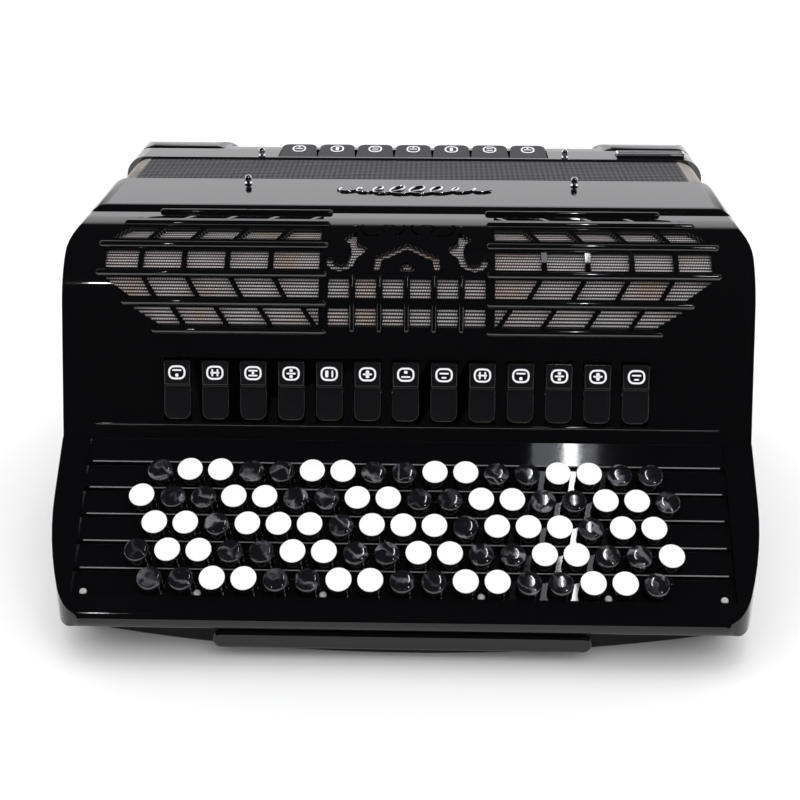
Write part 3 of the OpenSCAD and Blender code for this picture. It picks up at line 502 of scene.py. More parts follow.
# %% Grille cover with true round normals
cover = finish_piece(merged_copy("grille_cover"), "grille_shell", [ENAMEL], node="grille_cover",
                     sharp=30)
mesh = cover.data
normals = [Vector(c.vector) for c in mesh.corner_normals]
turned = 0
for polygon in mesh.polygons:
    for corner in polygon.loop_indices:
        point = mesh.vertices[mesh.loops[corner].vertex_index].co
        away = Vector((0, min(point.y - CURVE_Y, 0), point.z - CURVE_Z)).normalized()
        if away.dot(PANEL_UP) < 0:
            away = PANEL_OUT
        side = polygon.normal.dot(away)
        if abs(side) > cos(radians(5)):
            normals[corner] = away if side > 0 else -away
            turned += 1
mesh.normals_split_custom_set(normals)
print("corner normals pointed away from the axis:", turned)

# %% [markdown]
# ## Gauze
# The gauze is one thin sheet that follows the inside of the cover. Spinning one edge about the curve's axis
# makes the round part, and two short extrusions carry it on along the straight parts. Its UV map is written
# in metres, so the ribs keep their real distance.

# %% Gauze sheet
GAUZE_GAP = 3.6 * MM
GAUZE_BACK = 6 * MM
cloth_low, cloth_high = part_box("grille_cloth")


def down_the_front(point):
    """How far a point is down the front of the grille from where it starts to curve."""
    if point.y > CURVE_Y:
        return CURVE_Y - point.y
    turn = atan2(CURVE_Y - point.y, point.z - CURVE_Z)
    if turn <= CURVE_TURN:
        return turn * GRILLE_RADIUS
    return CURVE_LENGTH - (Vector(point) - Vector((point.x, CURVE_Y, CURVE_Z))).dot(PANEL_UP)


def write_uv(bm, place):
    """Gives every corner a UV from a function of its point."""
    layer = bm.loops.layers.uv.new("cloth")
    for face in bm.faces:
        for corner in face.loops:
            corner[layer].uv = place(corner.vert.co, face.normal)


bm = bmesh.new()
radius = GRILLE_RADIUS - GAUZE_GAP
ends = [bm.verts.new((x, CURVE_Y, CURVE_Z + radius)) for x in (cloth_low.x, cloth_high.x)]
edge = bm.edges.new(ends)
bmesh.ops.spin(bm, geom=[*ends, edge], cent=(0, CURVE_Y, CURVE_Z), axis=(1, 0, 0), angle=CURVE_TURN, steps=40)
back = min((e for e in bm.edges if e.is_boundary and abs(e.verts[0].co.z - e.verts[1].co.z) < 1e-6),
           key=lambda e: -e.verts[0].co.z)
made = bmesh.ops.extrude_edge_only(bm, edges=[back])
bmesh.ops.translate(bm, vec=(0, GAUZE_BACK, 0), verts=points_in(made["geom"]))
rim = [e for e in bm.edges if e.is_boundary and abs(e.verts[0].co.z - e.verts[1].co.z) < 1e-6]
lowest = min(rim, key=lambda e: e.verts[0].co.z)
run = cloth_low.z + 1 * MM - lowest.verts[0].co.z
made = bmesh.ops.extrude_edge_only(bm, edges=[lowest])
bmesh.ops.translate(bm, vec=(0, run * sin(PANEL_LEAN) / cos(PANEL_LEAN), run), verts=points_in(made["geom"]))
bmesh.ops.recalc_face_normals(bm, faces=bm.faces)
if bm.faces[0].normal.z < 0:
    bmesh.ops.reverse_faces(bm, faces=bm.faces)
write_uv(bm, lambda co, normal: (co.x, down_the_front(co)))
finish_piece(bm, "ribbed_gauze_sheet", [GAUZE], node="grille_cloth")
print("gauze:", round(run, 4), "m straight run")

# %% [markdown]
# ## Bars and rods on the grille
# Each bar is a rod with round ends, sunk by half into the cover. A cylinder whose end rims are bevelled by
# nearly its radius gives the round end in one step. The upright rods are cut across many times and then
# moved point by point onto the curve.

# %% Grille bars
BAR_PLACES = [-8.3, 12.2, 33.4, 53.6, 71.7, 89.0]
BAR_ENDS = [158.0, 177.0, 189.5, 189.5, 173.0, 154.5]
BAR_INNER_END = 51.0
BAR_RADIUS = 2.3 * MM
ROD_RADIUS = 1.6 * MM
ROD_TOP = 54.0 * MM
ROD_BOTTOM = 89.6 * MM
ROD_PITCH = 16.75 * MM
ROUND_SHARE = 0.93


def rod(bm, start, end, radius, segments=18, round_ends=5, cuts=0):
    """A rod with round ends along X from start to end, at the origin's height."""
    made = bmesh.ops.create_cone(bm, cap_ends=True, segments=segments, radius1=radius, radius2=radius,
                                 depth=end - start)["verts"]
    bmesh.ops.rotate(bm, cent=(0, 0, 0), matrix=Matrix.Rotation(pi / 2, 3, "Y"), verts=made)
    bmesh.ops.translate(bm, vec=((start + end) / 2, 0, 0), verts=made)
    near = set(made)
    rims = [e for e in bm.edges if e.verts[0] in near and abs(e.verts[0].co.x - e.verts[1].co.x) < 1e-7]
    before = set(bm.verts) - near
    bmesh.ops.bevel(bm, geom=rims, offset=radius * ROUND_SHARE, offset_type="OFFSET", segments=round_ends,
                    profile=0.5, affect="EDGES", material=-1)
    made = [v for v in bm.verts if v not in before]
    if cuts:
        faces = {f for v in made for f in v.link_faces}
        edges = {e for v in made for e in v.link_edges}
        for step in range(1, cuts):
            level = start + (end - start) * step / cuts
            bmesh.ops.bisect_plane(bm, geom=[*made, *edges, *faces], plane_co=(level, 0, 0), plane_no=(1, 0, 0))
            made = [v for v in bm.verts if v not in before]
            faces = {f for v in made for f in v.link_faces}
            edges = {e for v in made for e in v.link_edges}
    return made


bm = bmesh.new()
for place, far_end in zip(BAR_PLACES, BAR_ENDS):
    for side in (-1, 1):
        near_x, far_x = sorted((side * BAR_INNER_END * MM, side * far_end * MM))
        made = rod(bm, near_x - BAR_RADIUS, far_x + BAR_RADIUS, BAR_RADIUS)
        bmesh.ops.translate(bm, vec=on_grille(0, place * MM), verts=made)
for index in range(-2, 3):
    made = rod(bm, ROD_TOP, ROD_BOTTOM, ROD_RADIUS, segments=14, round_ends=4, cuts=18)
    for vert in made:
        across, along, lift = vert.co.y, vert.co.x, vert.co.z
        vert.co = on_grille(index * ROD_PITCH + across, along, lift)
bmesh.ops.recalc_face_normals(bm, faces=bm.faces)
bars = finish_piece(bm, "grille_rods", [ENAMEL], node="grille_bars", sharp=60)
print("rods:", len(BAR_PLACES) * 2 + 5, "with", len(bars.data.polygons), "faces")

# %% [markdown]
# ## Register tabs
# A tab is a rocker: a flat head with the symbol, over a scooped paddle that the finger presses. The block
# is cut into a lattice with planes, and the front of the lattice is then pushed to the scooped profile.

# %% Register tabs
PANEL_HEIGHT = 61.4 * MM
TAB_WIDTH = 16.5 * MM
TAB_HEIGHT = 36.5 * MM
SYMBOL_PLACE = 10.9 * MM
HEAD_EDGE = 3.1 * MM
PADDLE_CORNER = 5.2 * MM
HEAD_CORNER = 1.3 * MM
CUTS_UP = (-17, -15, -13, -10, -7, -4, -1.5, 0, 1.2, 2.2, 3.0, 3.3, 12, 15)
CUTS_ACROSS = (-7, -5, -2.5, 0, 2.5, 5, 7)


def panel_frame(x, down):
    """Matrix of the sloping panel: X across, Y up the slope and Z out of it."""
    up, out = PANEL_UP, PANEL_OUT
    origin = Vector((x, cover_low.y, CURVE_Z)) - up * down
    return Matrix(((1, 0, 0, origin.x), (0, up.y, out.y, origin.y), (0, up.z, out.z, origin.z), (0, 0, 0, 1)))


def rounded_plate(bm, x, y, z, width, height, corner, segments=4):
    """A flat rounded rectangle; gives its face."""
    made = bmesh.ops.create_grid(bm, x_segments=1, y_segments=1, size=0.5)["verts"]
    bmesh.ops.scale(bm, vec=(width, height, 1), verts=made)
    bmesh.ops.translate(bm, vec=(x, y, z), verts=made)
    face = made[0].link_faces[0]
    old = set(bm.faces) - {face}
    bmesh.ops.bevel(bm, geom=list(face.verts), offset=corner, offset_type="OFFSET", segments=segments,
                    profile=0.5, affect="VERTICES", material=-1)
    return next(f for f in bm.faces if f not in old)


def symbol(bm, x, y, z, width, height, line, marks, material_index):
    """A printed ring with bars and dots in it."""
    old = set(bm.faces)
    face = rounded_plate(bm, x, y, z, width, height, min(width, height) * 0.42, 5)
    bmesh.ops.inset_individual(bm, faces=[face], thickness=line, use_even_offset=True)
    bmesh.ops.delete(bm, geom=[face], context="FACES_ONLY")
    for mx, my, mw, mh in marks:
        rounded_plate(bm, x + mx * MM, y + my * MM, z, mw * MM, mh * MM, min(mw, mh) * 0.3 * MM, 2)
    for face in set(bm.faces) - old:
        face.material_index = material_index
    return [f for f in bm.faces if f not in old]


BAR_MARK = (0, 0, 5.6, 1.1)
MARKS = [[(0, 1.4, 5.6, 1.0), (0, -1.7, 2.0, 1.9)], [(-1.6, 0, 1.1, 4.4), (1.6, 0, 1.1, 4.4), BAR_MARK],
         [(0, 1.5, 5.6, 1.0), (0, -1.5, 5.6, 1.0), (0, 0, 1.6, 1.6)], [(0, 0.9, 5.6, 1.0), (0, -1.6, 3.0, 1.0)],
         [(0, 1.8, 2.0, 1.6), BAR_MARK, (0, -1.8, 2.0, 1.6)], [(-1.5, 0, 2.0, 4.2), (1.9, 0, 1.1, 4.2)],
         [(0, 0, 2.2, 4.6), BAR_MARK], [(0, -1.4, 5.6, 1.0), (0, 1.5, 2.2, 1.8)]]
MARK_ORDER = [0, 1, 2, 4, 5, 6, 7, 3, 1, 0, 4, 6, 3]


def front_of_tab(x, y):
    """Height of the tab's front: the flat head, the step, and the scooped paddle under it."""
    if y > HEAD_EDGE:
        return (3.6 + 0.5 * (y - HEAD_EDGE) / (TAB_HEIGHT / 2 - HEAD_EDGE)) * MM
    along = min(1.0, (HEAD_EDGE - y) / (TAB_HEIGHT / 2 + HEAD_EDGE))
    middle = 1 - (2 * x / TAB_WIDTH) ** 2
    return (1.9 + 0.7 * along ** 2 - 1.0 * middle * (1 - along ** 3)) * MM


for index, marks in enumerate(MARK_ORDER):
    bm = bmesh.new()
    block = bmesh.ops.create_cube(bm, size=1)["verts"]
    bmesh.ops.scale(bm, vec=(TAB_WIDTH, TAB_HEIGHT, 6 * MM), verts=block)
    bmesh.ops.translate(bm, vec=(0, 0, 1 * MM), verts=block)
    for bottom, radius in ((True, PADDLE_CORNER), (False, HEAD_CORNER)):
        upright = [e for e in bm.edges if abs(e.verts[0].co.z - e.verts[1].co.z) > 5 * MM
                   and (e.verts[0].co.y < 0) == bottom and abs(e.verts[0].co.y) > TAB_HEIGHT * 0.49]
        bmesh.ops.bevel(bm, geom=upright, offset=radius, offset_type="OFFSET", segments=6, profile=0.5,
                        affect="EDGES", material=-1)
    for level in CUTS_UP:
        bmesh.ops.bisect_plane(bm, geom=[*bm.verts, *bm.edges, *bm.faces], plane_co=(0, level * MM, 0),
                               plane_no=(0, 1, 0))
    for level in CUTS_ACROSS:
        bmesh.ops.bisect_plane(bm, geom=[*bm.verts, *bm.edges, *bm.faces], plane_co=(level * MM, 0, 0),
                               plane_no=(1, 0, 0))
    for vert in bm.verts:
        if vert.co.z > 3.9 * MM:
            vert.co.z = front_of_tab(vert.co.x, vert.co.y)
    symbol(bm, 0, SYMBOL_PLACE, 4.12 * MM, 10.6 * MM, 8.6 * MM, 1.15 * MM, MARKS[marks], 1)
    bmesh.ops.transform(bm, matrix=panel_frame((index - 6) * REGISTER_PITCH, PANEL_HEIGHT / 2), verts=bm.verts)
    tab = finish_piece(bm, f"register_tab_{index + 1}", [TAB_PLASTIC, INK], node=f"treble_register_{index + 1}",
                       sharp=38)
    soft_edges(tab, 0.9 * MM, 1, 50)
print("register tabs:", len(MARK_ORDER), "with", len(tab.data.polygons), "faces each")

# %% [markdown]
# ## Treble buttons
# White buttons are flat white discs inlaid in black, and dark ones are pearl with a rounded rim. One
# profile spun about its axis makes each kind, and every row repeats them in its own order.

# %% Button kinds
PLAIN_STEP = 16.7 * MM
STEP_DEPTH = 16.82 * MM
STEP_HEIGHT = 2.67 * MM
WHITE_PROFILE = [(0.01, 9.3), (7.25, 9.3), (7.5, 9.22), (7.6, 9.0), (7.6, 8.6)]
WHITE_BASE = [(7.6, 8.6), (7.7, 8.4), (7.7, 6.4), (7.5, 6.0), (7.2, 5.9), (7.2, -6.8)]
PEARL_PROFILE = [(0.01, 9.3), (3.0, 9.28), (5.0, 9.2), (6.2, 8.95), (6.9, 8.55), (7.35, 8.0), (7.6, 7.3),
                 (7.65, 6.6)]
PEARL_BASE = [(7.65, 6.6), (7.5, 6.1), (7.2, 5.9), (7.2, -6.8)]
SPIN_STEPS = 26


def spun(bm, profile, material_index=0, steps=SPIN_STEPS):
    """Spins a profile of (radius, height) pairs in millimetres about Z."""
    old = set(bm.faces)
    line = [bm.verts.new((r * MM, 0, z * MM)) for r, z in profile]
    edges = [bm.edges.new(pair) for pair in zip(line, line[1:])]
    bmesh.ops.spin(bm, geom=[*line, *edges], cent=(0, 0, 0), axis=(0, 0, 1), angle=2 * pi, steps=steps,
                   use_merge=True)
    for face in set(bm.faces) - old:
        face.material_index = material_index


def button_mesh(name, top, base, top_material):
    """A button as a mesh with its cap and its collar in two finishes."""
    bm = bmesh.new()
    spun(bm, top, top_material)
    spun(bm, base, 0)
    bmesh.ops.remove_doubles(bm, verts=bm.verts, dist=0.012 * MM)
    bmesh.ops.recalc_face_normals(bm, faces=bm.faces)
    upper = max(bm.faces, key=lambda f: f.calc_center_median().z)
    if upper.normal.z < 0:
        bmesh.ops.reverse_faces(bm, faces=bm.faces)
    return mesh_of(bm, name)


KINDS = {"w": button_mesh("white_button", WHITE_PROFILE, WHITE_BASE, 1),
         "b": button_mesh("pearl_button", PEARL_PROFILE, PEARL_BASE, 2)}
print("button kinds:", {k: len(m.polygons) for k, m in KINDS.items()}, "faces")

# %% Five rows
ROWS = ["bwwbbwwbbwwbbwwbb", "wbbwwbbwwbbwwbbwwb", "wwbwwwbwwwbwwwbww", "bwwbbwwbbwwbbwwbbw",
        "bbwwbbwwbbwwbbwwb"]
STEP_OUT = Vector((0, -cos(BOARD_TILT), -sin(BOARD_TILT)))
STEP_DROP = Vector((0, sin(BOARD_TILT), -cos(BOARD_TILT)))
PANEL_FOOT = panel_frame(0, PANEL_HEIGHT).translation


def row_centre(row):
    """Middle of a row on the surface of its step; the first row is 1."""
    out = PLAIN_STEP + (row - 0.5) * STEP_DEPTH
    return PANEL_FOOT + out * STEP_OUT + row * STEP_HEIGHT * STEP_DROP


def put(bm, mesh, matrix):
    """Adds a mesh to a bmesh at a place."""
    old = set(bm.verts)
    bm.from_mesh(mesh)
    bmesh.ops.transform(bm, matrix=matrix, verts=[v for v in bm.verts if v not in old])


for row, order in enumerate(ROWS, 1):
    bm = bmesh.new()
    for index, kind in enumerate(order):
        centre = row_centre(row) + Vector(((index - (len(order) - 1) / 2) * BUTTON_PITCH, 0, 0))
        turn = Matrix.Rotation(BOARD_TILT, 4, "X") @ Matrix.Rotation(index * 2.1 + row, 4, "Z")
        put(bm, KINDS[kind], Matrix.Translation(centre) @ turn)
    finish_piece(bm, f"button_row_{row}", [COLLAR, WHITE_CAP, PEARL], node=f"treble_buttons_row_{row}",
                 sharp=42)
print("buttons:", sum(map(len, ROWS)))

# %% [markdown]
# ## Painted highlight lines on the steps
# Each step of the fingerboard ends in a painted highlight: a thin grey line whose colour stands in for the
# reflection along the rounded edge. The line is a slim rod laid into the edge, so that it stays thin and even
# however the board is lit.

# %% Step edges: painted highlight lines
LINE_RADIUS = 0.42 * MM
LINE_INSET = 3 * MM
board_low, board_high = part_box("fingerboard")
first_edge = PANEL_FOOT + PLAIN_STEP * STEP_OUT
bm = bmesh.new()
for step in range(len(ROWS)):
    made = rod(bm, board_low.x + LINE_INSET, board_high.x - LINE_INSET, LINE_RADIUS, segments=10, round_ends=1)
    edge = first_edge + step * (STEP_HEIGHT * STEP_DROP + STEP_DEPTH * STEP_OUT)
    bmesh.ops.translate(bm, vec=edge + 0.25 * MM * (STEP_DROP - STEP_OUT), verts=made)
bmesh.ops.recalc_face_normals(bm, faces=bm.faces)
# Painted highlight: these grey rods stand in for the bright reflections along the step edges.
finish_piece(bm, "painted_highlight_step_lines", [PAINTED_HIGHLIGHT_LINE], body="treble", sharp=60)
print("edge lines:", len(ROWS))

# %% [markdown]
# ## Screws and flourish
# Six small nickel screws hold the fingerboard. The case front carries a chrome flourish, here a plain row
# of loops that swells towards the middle.

# %% Keyboard screws
SCREW_PROFILE = [(0.01, 0.35), (0.5, 0.35), (0.62, 0.95), (1.2, 1.0), (1.9, 0.7), (2.2, 0.0)]
SCREW_INSET = 2.6 * MM
bm = bmesh.new()
screw_xs = [2.5 * BUTTON_PITCH, 6.5 * BUTTON_PITCH, 187.5 * MM]
last_edge = row_centre(5) + STEP_DEPTH / 2 * STEP_OUT
for x in [*screw_xs, *[-x for x in screw_xs]]:
    single = bmesh.new()
    spun(single, SCREW_PROFILE, steps=18)
    bmesh.ops.remove_doubles(single, verts=single.verts, dist=0.012 * MM)
    bmesh.ops.recalc_face_normals(single, faces=single.faces)
    seat = last_edge - SCREW_INSET * STEP_OUT + Vector((x, 0, 0))
    put(bm, mesh_of(single, "screw"), Matrix.Translation(seat) @ Matrix.Rotation(BOARD_TILT, 4, "X"))
finish_piece(bm, "fingerboard_screws", [SATIN], node="keyboard_screws", sharp=50)

# %% Chrome flourish
emblem_low, emblem_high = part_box("case_emblem")
EMBLEM_MIDDLE = (emblem_low + emblem_high) / 2
LOOPS = 8
FLOURISH_HALF = 56 * MM
line = bpy.data.curves.new("flourish", "CURVE")
line.dimensions = "3D"
line.bevel_depth = 0.8 * MM
line.bevel_resolution = 3
spline = line.splines.new("POLY")
steps = LOOPS * 26
spline.points.add(steps)
for step, point in enumerate(spline.points):
    t = step / steps
    swell = (3.4 + 6.2 * sin(pi * t) ** 2) * MM
    turn = 2 * pi * LOOPS * t
    rise = swell * sin(turn)
    along = FLOURISH_HALF * (2 * t - 1) * 0.92 + 0.75 * swell * cos(turn)
    point.co = (along + 0.4 * rise, EMBLEM_MIDDLE.y + rise, emblem_low.z + 0.6 * MM, 1)
shape = bpy.data.objects.new("flourish", line)
mesh = bpy.data.meshes.new_from_object(shape)
bpy.data.objects.remove(shape)
bm = bmesh.new()
bm.from_mesh(mesh)
finish_piece(bm, "chrome_flourish", [CHROME], node="case_emblem", sharp=60)
print("flourish loops:", LOOPS)

# %% [markdown]
# ## Bellows
# A bellows is a stack of folds. One rounded outline is extruded step by step along the depth, going in at
# each valley and out at each fold. The metal corner caps are made the same way, a little larger, and keep
# only the faces near the corners. Neither is tied to a drawn body.

# %% Bellows folds and corner caps
FOLDS = 15
FOLD_STEPS = [(0.13, 0.7), (0.3, 0.12), (0.5, 0.0), (0.7, 0.12), (0.87, 0.7), (1.0, 3.2)]
CASE_CORNER = 15 * MM
CAP_REACH = 18 * MM
middle = (bellows_low + bellows_high) / 2
fold_pitch = (bellows_high.y - bellows_low.y) / FOLDS


def folded_shell(grow):
    """The stack of folds as a bmesh, made larger all round by a small amount."""
    bm = bmesh.new()
    width = bellows_high.x - bellows_low.x
    height = bellows_high.z - bellows_low.z
    face = rounded_plate(bm, 0, 0, 0, width, height, CASE_CORNER, 10)
    bmesh.ops.rotate(bm, cent=(0, 0, 0), matrix=Matrix.Rotation(pi / 2, 3, "X"), verts=bm.verts)
    ring = list(face.edges)
    bmesh.ops.delete(bm, geom=[face], context="FACES_ONLY")
    home = {v: v.co.copy() for v in bm.verts}

    def set_ring(verts, inset, y):
        for vert in verts:
            flat = home[vert]
            rise = flat.z * (1 - 2 * inset / height)
            vert.co = Vector((flat.x * (1 - 2 * inset / width), y, middle.z + rise))

    set_ring(bm.verts, 3.2 * MM - grow, bellows_low.y)
    for fold in range(FOLDS):
        for share, inset in FOLD_STEPS:
            made = bmesh.ops.extrude_edge_only(bm, edges=ring)["geom"]
            new_verts = points_in(made)
            new_edges = [g for g in made if isinstance(g, bmesh.types.BMEdge)]
            for vert in new_verts:
                source = min((e.other_vert(vert) for e in vert.link_edges if e.other_vert(vert) in home),
                             key=lambda v: (v.co - vert.co).length)
                home[vert] = home[source]
            set_ring(new_verts, inset * MM - grow, bellows_low.y + (fold + share) * fold_pitch)
            ring = [e for e in new_edges if e.verts[0] in new_verts and e.verts[1] in new_verts]
    bmesh.ops.recalc_face_normals(bm, faces=bm.faces)
    right = max(bm.faces, key=lambda f: f.calc_center_median().x)
    if right.normal.x < 0:
        bmesh.ops.reverse_faces(bm, faces=bm.faces)
    return bm


def round_the_outline(co, normal):
    """UV in metres: along the outline of the fold, and across the folds."""
    return (co.x, co.y) if abs(normal.z) > abs(normal.x) else (co.z, co.y)


bm = folded_shell(0)
write_uv(bm, round_the_outline)
bellows = finish_piece(bm, "bellows_folds", [TAPE], node="bellows", body="none", sharp=50)
bm = folded_shell(0.35 * MM)
far = [f for f in bm.faces
       if bellows_high.x - abs(f.calc_center_median().x) > CAP_REACH
       or (bellows_high.z - bellows_low.z) / 2 - abs(f.calc_center_median().z - middle.z) > CAP_REACH + 12 * MM]
bmesh.ops.delete(bm, geom=far, context="FACES")
caps = finish_piece(bm, "bellows_corner_caps", [CAP_METAL], node="bellows_corners",
                    body="none", sharp=50)
for piece in (bellows, caps):
    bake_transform(piece)
print("bellows:", FOLDS, "folds,", len(bellows.data.polygons), "faces; caps", len(caps.data.polygons))

# %% [markdown]
# ## Bass tabs, converter bar and small metal
# The seven bass tabs are copies of the drawn ones with softer edges and a printed ring. The converter bar
# is a chrome frame round a dark inset.

# %% Bass tabs
BASS_TAB_TILT = radians(13)
BASS_AXLE_IN = 4.6 * MM
BASS_AXLE_DOWN = 1.4 * MM
BASS_RING = 10 * MM
BASS_RING_PLACE = 11.5 * MM
BASS_MARKS = [[(0, 0, 5.6, 1.2), (0, 2.4, 1.6, 1.6)], [(0, 0, 2.4, 5.4)],
              [(0, 1.5, 4.6, 1.1), (0, -1.5, 4.6, 1.1)]]
bass_low, bass_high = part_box("bass_case")
for index in range(7):
    node = f"bass_register_{index + 1}"
    low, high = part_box(node)
    bm = merged_copy(node)
    hinge = Vector(((low.x + high.x) / 2, bass_low.y + BASS_AXLE_IN, bass_high.z - BASS_AXLE_DOWN))
    place = Matrix.Translation(hinge) @ Matrix.Rotation(BASS_TAB_TILT, 4, "X")
    printed = bmesh.new()
    symbol(printed, 0, BASS_RING_PLACE, 1.9 * MM, BASS_RING, BASS_RING, 1.2 * MM, BASS_MARKS[index % 3], 1)
    put(bm, mesh_of(printed, "bass_symbol"), place)
    tab = finish_piece(bm, f"bass_tab_{index + 1}", [BASS_TAB, INK], node=node,
                       sharp=38)
    soft_edges(tab, 0.5 * MM, 3, 45)
print("bass tabs: 7")

# %% Converter bar
FRAME_WIDTH = 1.5 * MM
FRAME_DEPTH = 1.3 * MM
low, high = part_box("converter_bar")
bm = bmesh.new()
block = bmesh.ops.create_cube(bm, size=1)["verts"]
bmesh.ops.scale(bm, vec=high - low, verts=block)
bmesh.ops.translate(bm, vec=(low + high) / 2, verts=block)
top = max(bm.faces, key=lambda f: f.calc_center_median().z)
bmesh.ops.inset_individual(bm, faces=[top], thickness=FRAME_WIDTH, use_even_offset=True)
made = bmesh.ops.extrude_face_region(bm, geom=[top])["geom"]
inner = [g for g in made if isinstance(g, bmesh.types.BMFace)]
bmesh.ops.translate(bm, vec=(0, 0, -FRAME_DEPTH), verts=points_in(made))
if top.is_valid:
    bmesh.ops.delete(bm, geom=[top], context="FACES_ONLY")
for face in inner:
    face.material_index = 1
converter = finish_piece(bm, "converter_frame", [CHROME, COLLAR], node="converter_bar")
soft_edges(converter, 0.5 * MM, 3, 40)
soft_copy("strap_wheel", "knurled_strap_wheel", [CHROME], 0.3 * MM, 2, 40)
soft_copy("air_button", "air_release_button", [CHROME], 1.4 * MM, 4, 60)

# %% [markdown]
# ## Hand strap
# The strap is thick leather, skived thin at its edges and ends, with a row of stitches along each edge. It
# is made flat from a grid and then bent onto its arch point by point.

# %% Hand strap
strap_low, strap_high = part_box("hand_strap")
STRAP_SPAN = strap_high.x - strap_low.x
STRAP_WIDTH = strap_high.z - strap_low.z
STRAP_THICK = 4 * MM
STRAP_RISE = strap_high.y - strap_low.y - STRAP_THICK
SKIVE_WIDTH = 7 * MM
STITCH = (3.2 * MM, 0.9 * MM, 0.7 * MM)
STITCH_PITCH = 4.6 * MM
STITCH_INSET = 5 * MM
STITCHES_EACH_WAY = 38


def strap_place(along, across, height):
    """A point of the strap: along X, across in Z and out in Y from the inner face of the leather."""
    share = 2 * along / STRAP_SPAN
    y = strap_low.y + STRAP_RISE * (1 - abs(share) ** 5)
    return Vector((along, y + height, (strap_low.z + strap_high.z) / 2 + across))


bm = bmesh.new()
grid = bmesh.ops.create_grid(bm, x_segments=72, y_segments=16, size=0.5)["verts"]
bmesh.ops.scale(bm, vec=(STRAP_SPAN, STRAP_WIDTH, 1), verts=grid)
shell = bmesh.ops.extrude_face_region(bm, geom=list(bm.faces))["geom"]
upper = set(points_in(shell))
for vert in bm.verts:
    along, across = vert.co.x, vert.co.y
    edge = min(1.0, (STRAP_WIDTH / 2 - abs(across)) / SKIVE_WIDTH)
    thick_middle = max(0.0, 1 - (along / (STRAP_SPAN * 0.36)) ** 4)
    puff = (0.55 + 0.45 * sin(pi / 2 * edge)) * (0.62 + 0.38 * thick_middle)
    height = STRAP_THICK * puff if vert in upper else STRAP_THICK * 0.5 * (1 - puff)
    vert.co = strap_place(along, across, height)
for side in (-1, 1):
    across = side * (STRAP_WIDTH / 2 - STITCH_INSET)
    for step in range(-STITCHES_EACH_WAY, STITCHES_EACH_WAY + 1):
        stitch = bmesh.ops.create_cube(bm, size=1)["verts"]
        bmesh.ops.scale(bm, vec=STITCH, verts=stitch)
        along = step * STITCH_PITCH
        for vert in stitch:
            vert.co = strap_place(along + vert.co.x, across + vert.co.y, STRAP_THICK * 0.86 + vert.co.z)
            for face in vert.link_faces:
                face.material_index = 1
bmesh.ops.recalc_face_normals(bm, faces=bm.faces)
finish_piece(bm, "stitched_hand_strap", [LEATHER, COLLAR], node="hand_strap",
             sharp=60)
print("strap stitches:", 2 * (2 * STITCHES_EACH_WAY + 1))


# %% [markdown]
# ## Floor and light
# A plain white floor and soft light from above, as in a small studio. The big lamps that light the floor
# don't show in the gloss. The small lamps do, and so do a window on each side, which give the lacquer its
# points and streaks.

# %% Floor
floor_material, tree, shader = material("studio_floor", (0.93, 0.93, 0.935), 0.6)
bm = bmesh.new()
bmesh.ops.create_grid(bm, x_segments=1, y_segments=1, size=1)
bmesh.ops.scale(bm, vec=(9, 6, 1), verts=bm.verts)
bmesh.ops.translate(bm, vec=(0, 4.2, 0), verts=bm.verts)
mesh = mesh_of(bm, "studio_floor")
mesh.materials.append(floor_material)
floor = bpy.data.objects.new("studio_floor", mesh)
bpy.context.scene.collection.objects.link(floor)
floor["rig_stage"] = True


# %% Lights
def lamp(name, place, aim, size, power, shape="SQUARE", size_y=None, gloss=False, colour=(1, 1, 1)):
    """An area light that looks at a point; gloss says whether it shows in reflections."""
    data = bpy.data.lights.new(name, "AREA")
    data.shape = shape
    data.size = size
    if size_y:
        data.size_y = size_y
    data.energy = power
    data.color = colour
    lamp_object = bpy.data.objects.new(name, data)
    lamp_object.location = place
    lamp_object.rotation_euler = (Vector(aim) - Vector(place)).to_track_quat("-Z", "Y").to_euler()
    lamp_object.visible_glossy = gloss
    lamp_object.visible_camera = False
    bpy.context.scene.collection.objects.link(lamp_object)


lamp("overhead_panel", (0, -0.2, 2.4), (0, 0, 0), 2.6, 12)
lamp("front_panel", (0.3, -2.2, 1.7), (0, 0, 0.1), 1.6, 9)
lamp("ceiling_tube", (0.312, -0.3, 2.2), (0.312, -0.3, 0), 0.03, 1.3, "RECTANGLE", 0.46, gloss=True)
lamp("ceiling_glow", (0.3, -0.3, 2.21), (0.3, -0.3, 0), 0.14, 0.5, "RECTANGLE", 0.5, gloss=True,
     colour=(0.85, 0.9, 1))
lamp("right_strip", (1.0, -1.5, 1.9), (0, 0, 0.1), 0.06, 3, "RECTANGLE", 0.5, gloss=True)
lamp("left_spot", (-0.75, -1.7, 1.8), (0, 0, 0.1), 0.04, 0.6, "DISK", gloss=True)
lamp("left_window", (-1.9, -0.12, 0.14), (0, -0.12, 0.14), 0.5, 1.8, "RECTANGLE", 0.24, gloss=True)
lamp("right_window", (1.9, -0.12, 0.14), (0, -0.12, 0.14), 0.5, 1.8, "RECTANGLE", 0.24, gloss=True)
soft_sky = bpy.data.lights.new("soft_sky", "SUN")
soft_sky.energy = 2.8
soft_sky.angle = radians(150)
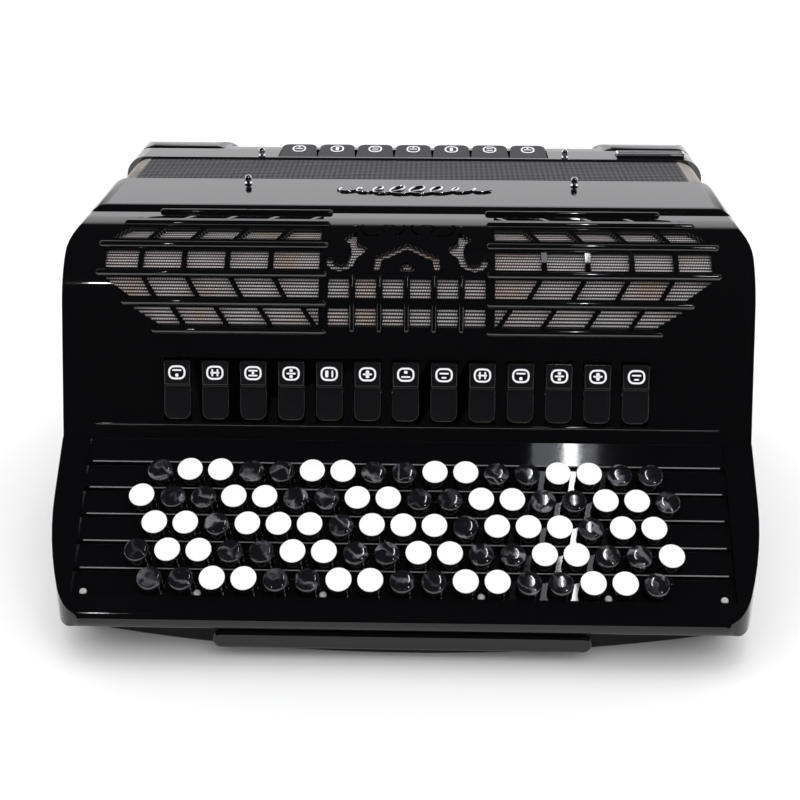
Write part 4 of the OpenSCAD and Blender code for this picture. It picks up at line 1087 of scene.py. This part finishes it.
sky = bpy.data.objects.new("soft_sky", soft_sky)
sky.visible_glossy = False
bpy.context.scene.collection.objects.link(sky)

# %% [markdown]
# ### The room
# Seen directly, the room is white. Reflected, it is a white sweep behind the object that ends at about
# forty degrees up, with a dark room above and in front of it, as in a real studio.

# %% World
world = bpy.data.worlds.new("studio")
bpy.context.scene.world = world
world.use_nodes = True
tree = world.node_tree
tree.nodes.clear()
direction = add(tree, "ShaderNodeSeparateXYZ", Vector=add(tree, "ShaderNodeTexCoord").outputs["Generated"])
height = ramp(tree, direction.outputs["Z"], (0.0, (1, 1, 1)), (0.60, (1, 1, 1)), (0.68, (0.0, 0.0, 0.0)))
behind = add(tree, "ShaderNodeMapRange", Value=direction.outputs["Y"], From_Min=0.15, From_Max=0.55)
reflected = math_node(tree, "MULTIPLY", height, behind.outputs["Result"])
sweep = math_node(tree, "MULTIPLY_ADD", reflected, 1.15, 0.012)
path = add(tree, "ShaderNodeLightPath")
strength = add(tree, "ShaderNodeMix", {"data_type": "FLOAT"}, n0=path.outputs["Is Camera Ray"], n2=sweep,
               n3=0.93)
background = add(tree, "ShaderNodeBackground", Color=(0.98, 0.98, 1.0, 1), Strength=strength.outputs[0])
add(tree, "ShaderNodeOutputWorld", Surface=background.outputs[0])
bpy.context.scene.view_settings.view_transform = "Standard"

# %% Give the untouched nodes a finish
FINISH = {"steel": CHROME, "inner_wood": WOOD, "foot_rubber": RUBBER, "button_plastic": COLLAR,
          "bass_button_plastic": BASS_CAP, "register_plastic": TAB_PLASTIC, "grille_lacquer": ENAMEL,
          "case_lacquer": CASE_LACQUER, "keyboard_lacquer": LACQUER, "gauze": CLOTH, "bellows_cloth": CLOTH,
          "corner_metal": CAP_METAL, "strap_leather": LEATHER, "soft_black": CLOTH}
for entry in frame["record"]["subparts"]:
    node = NODES[entry["node"]]
    node.data.materials.clear()
    node.data.materials.append(FINISH[entry["material_slot"]])

# %% Sizes and finish
low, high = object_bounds()
print("visual box:", [round(v, 4) for v in (*low, *high)])
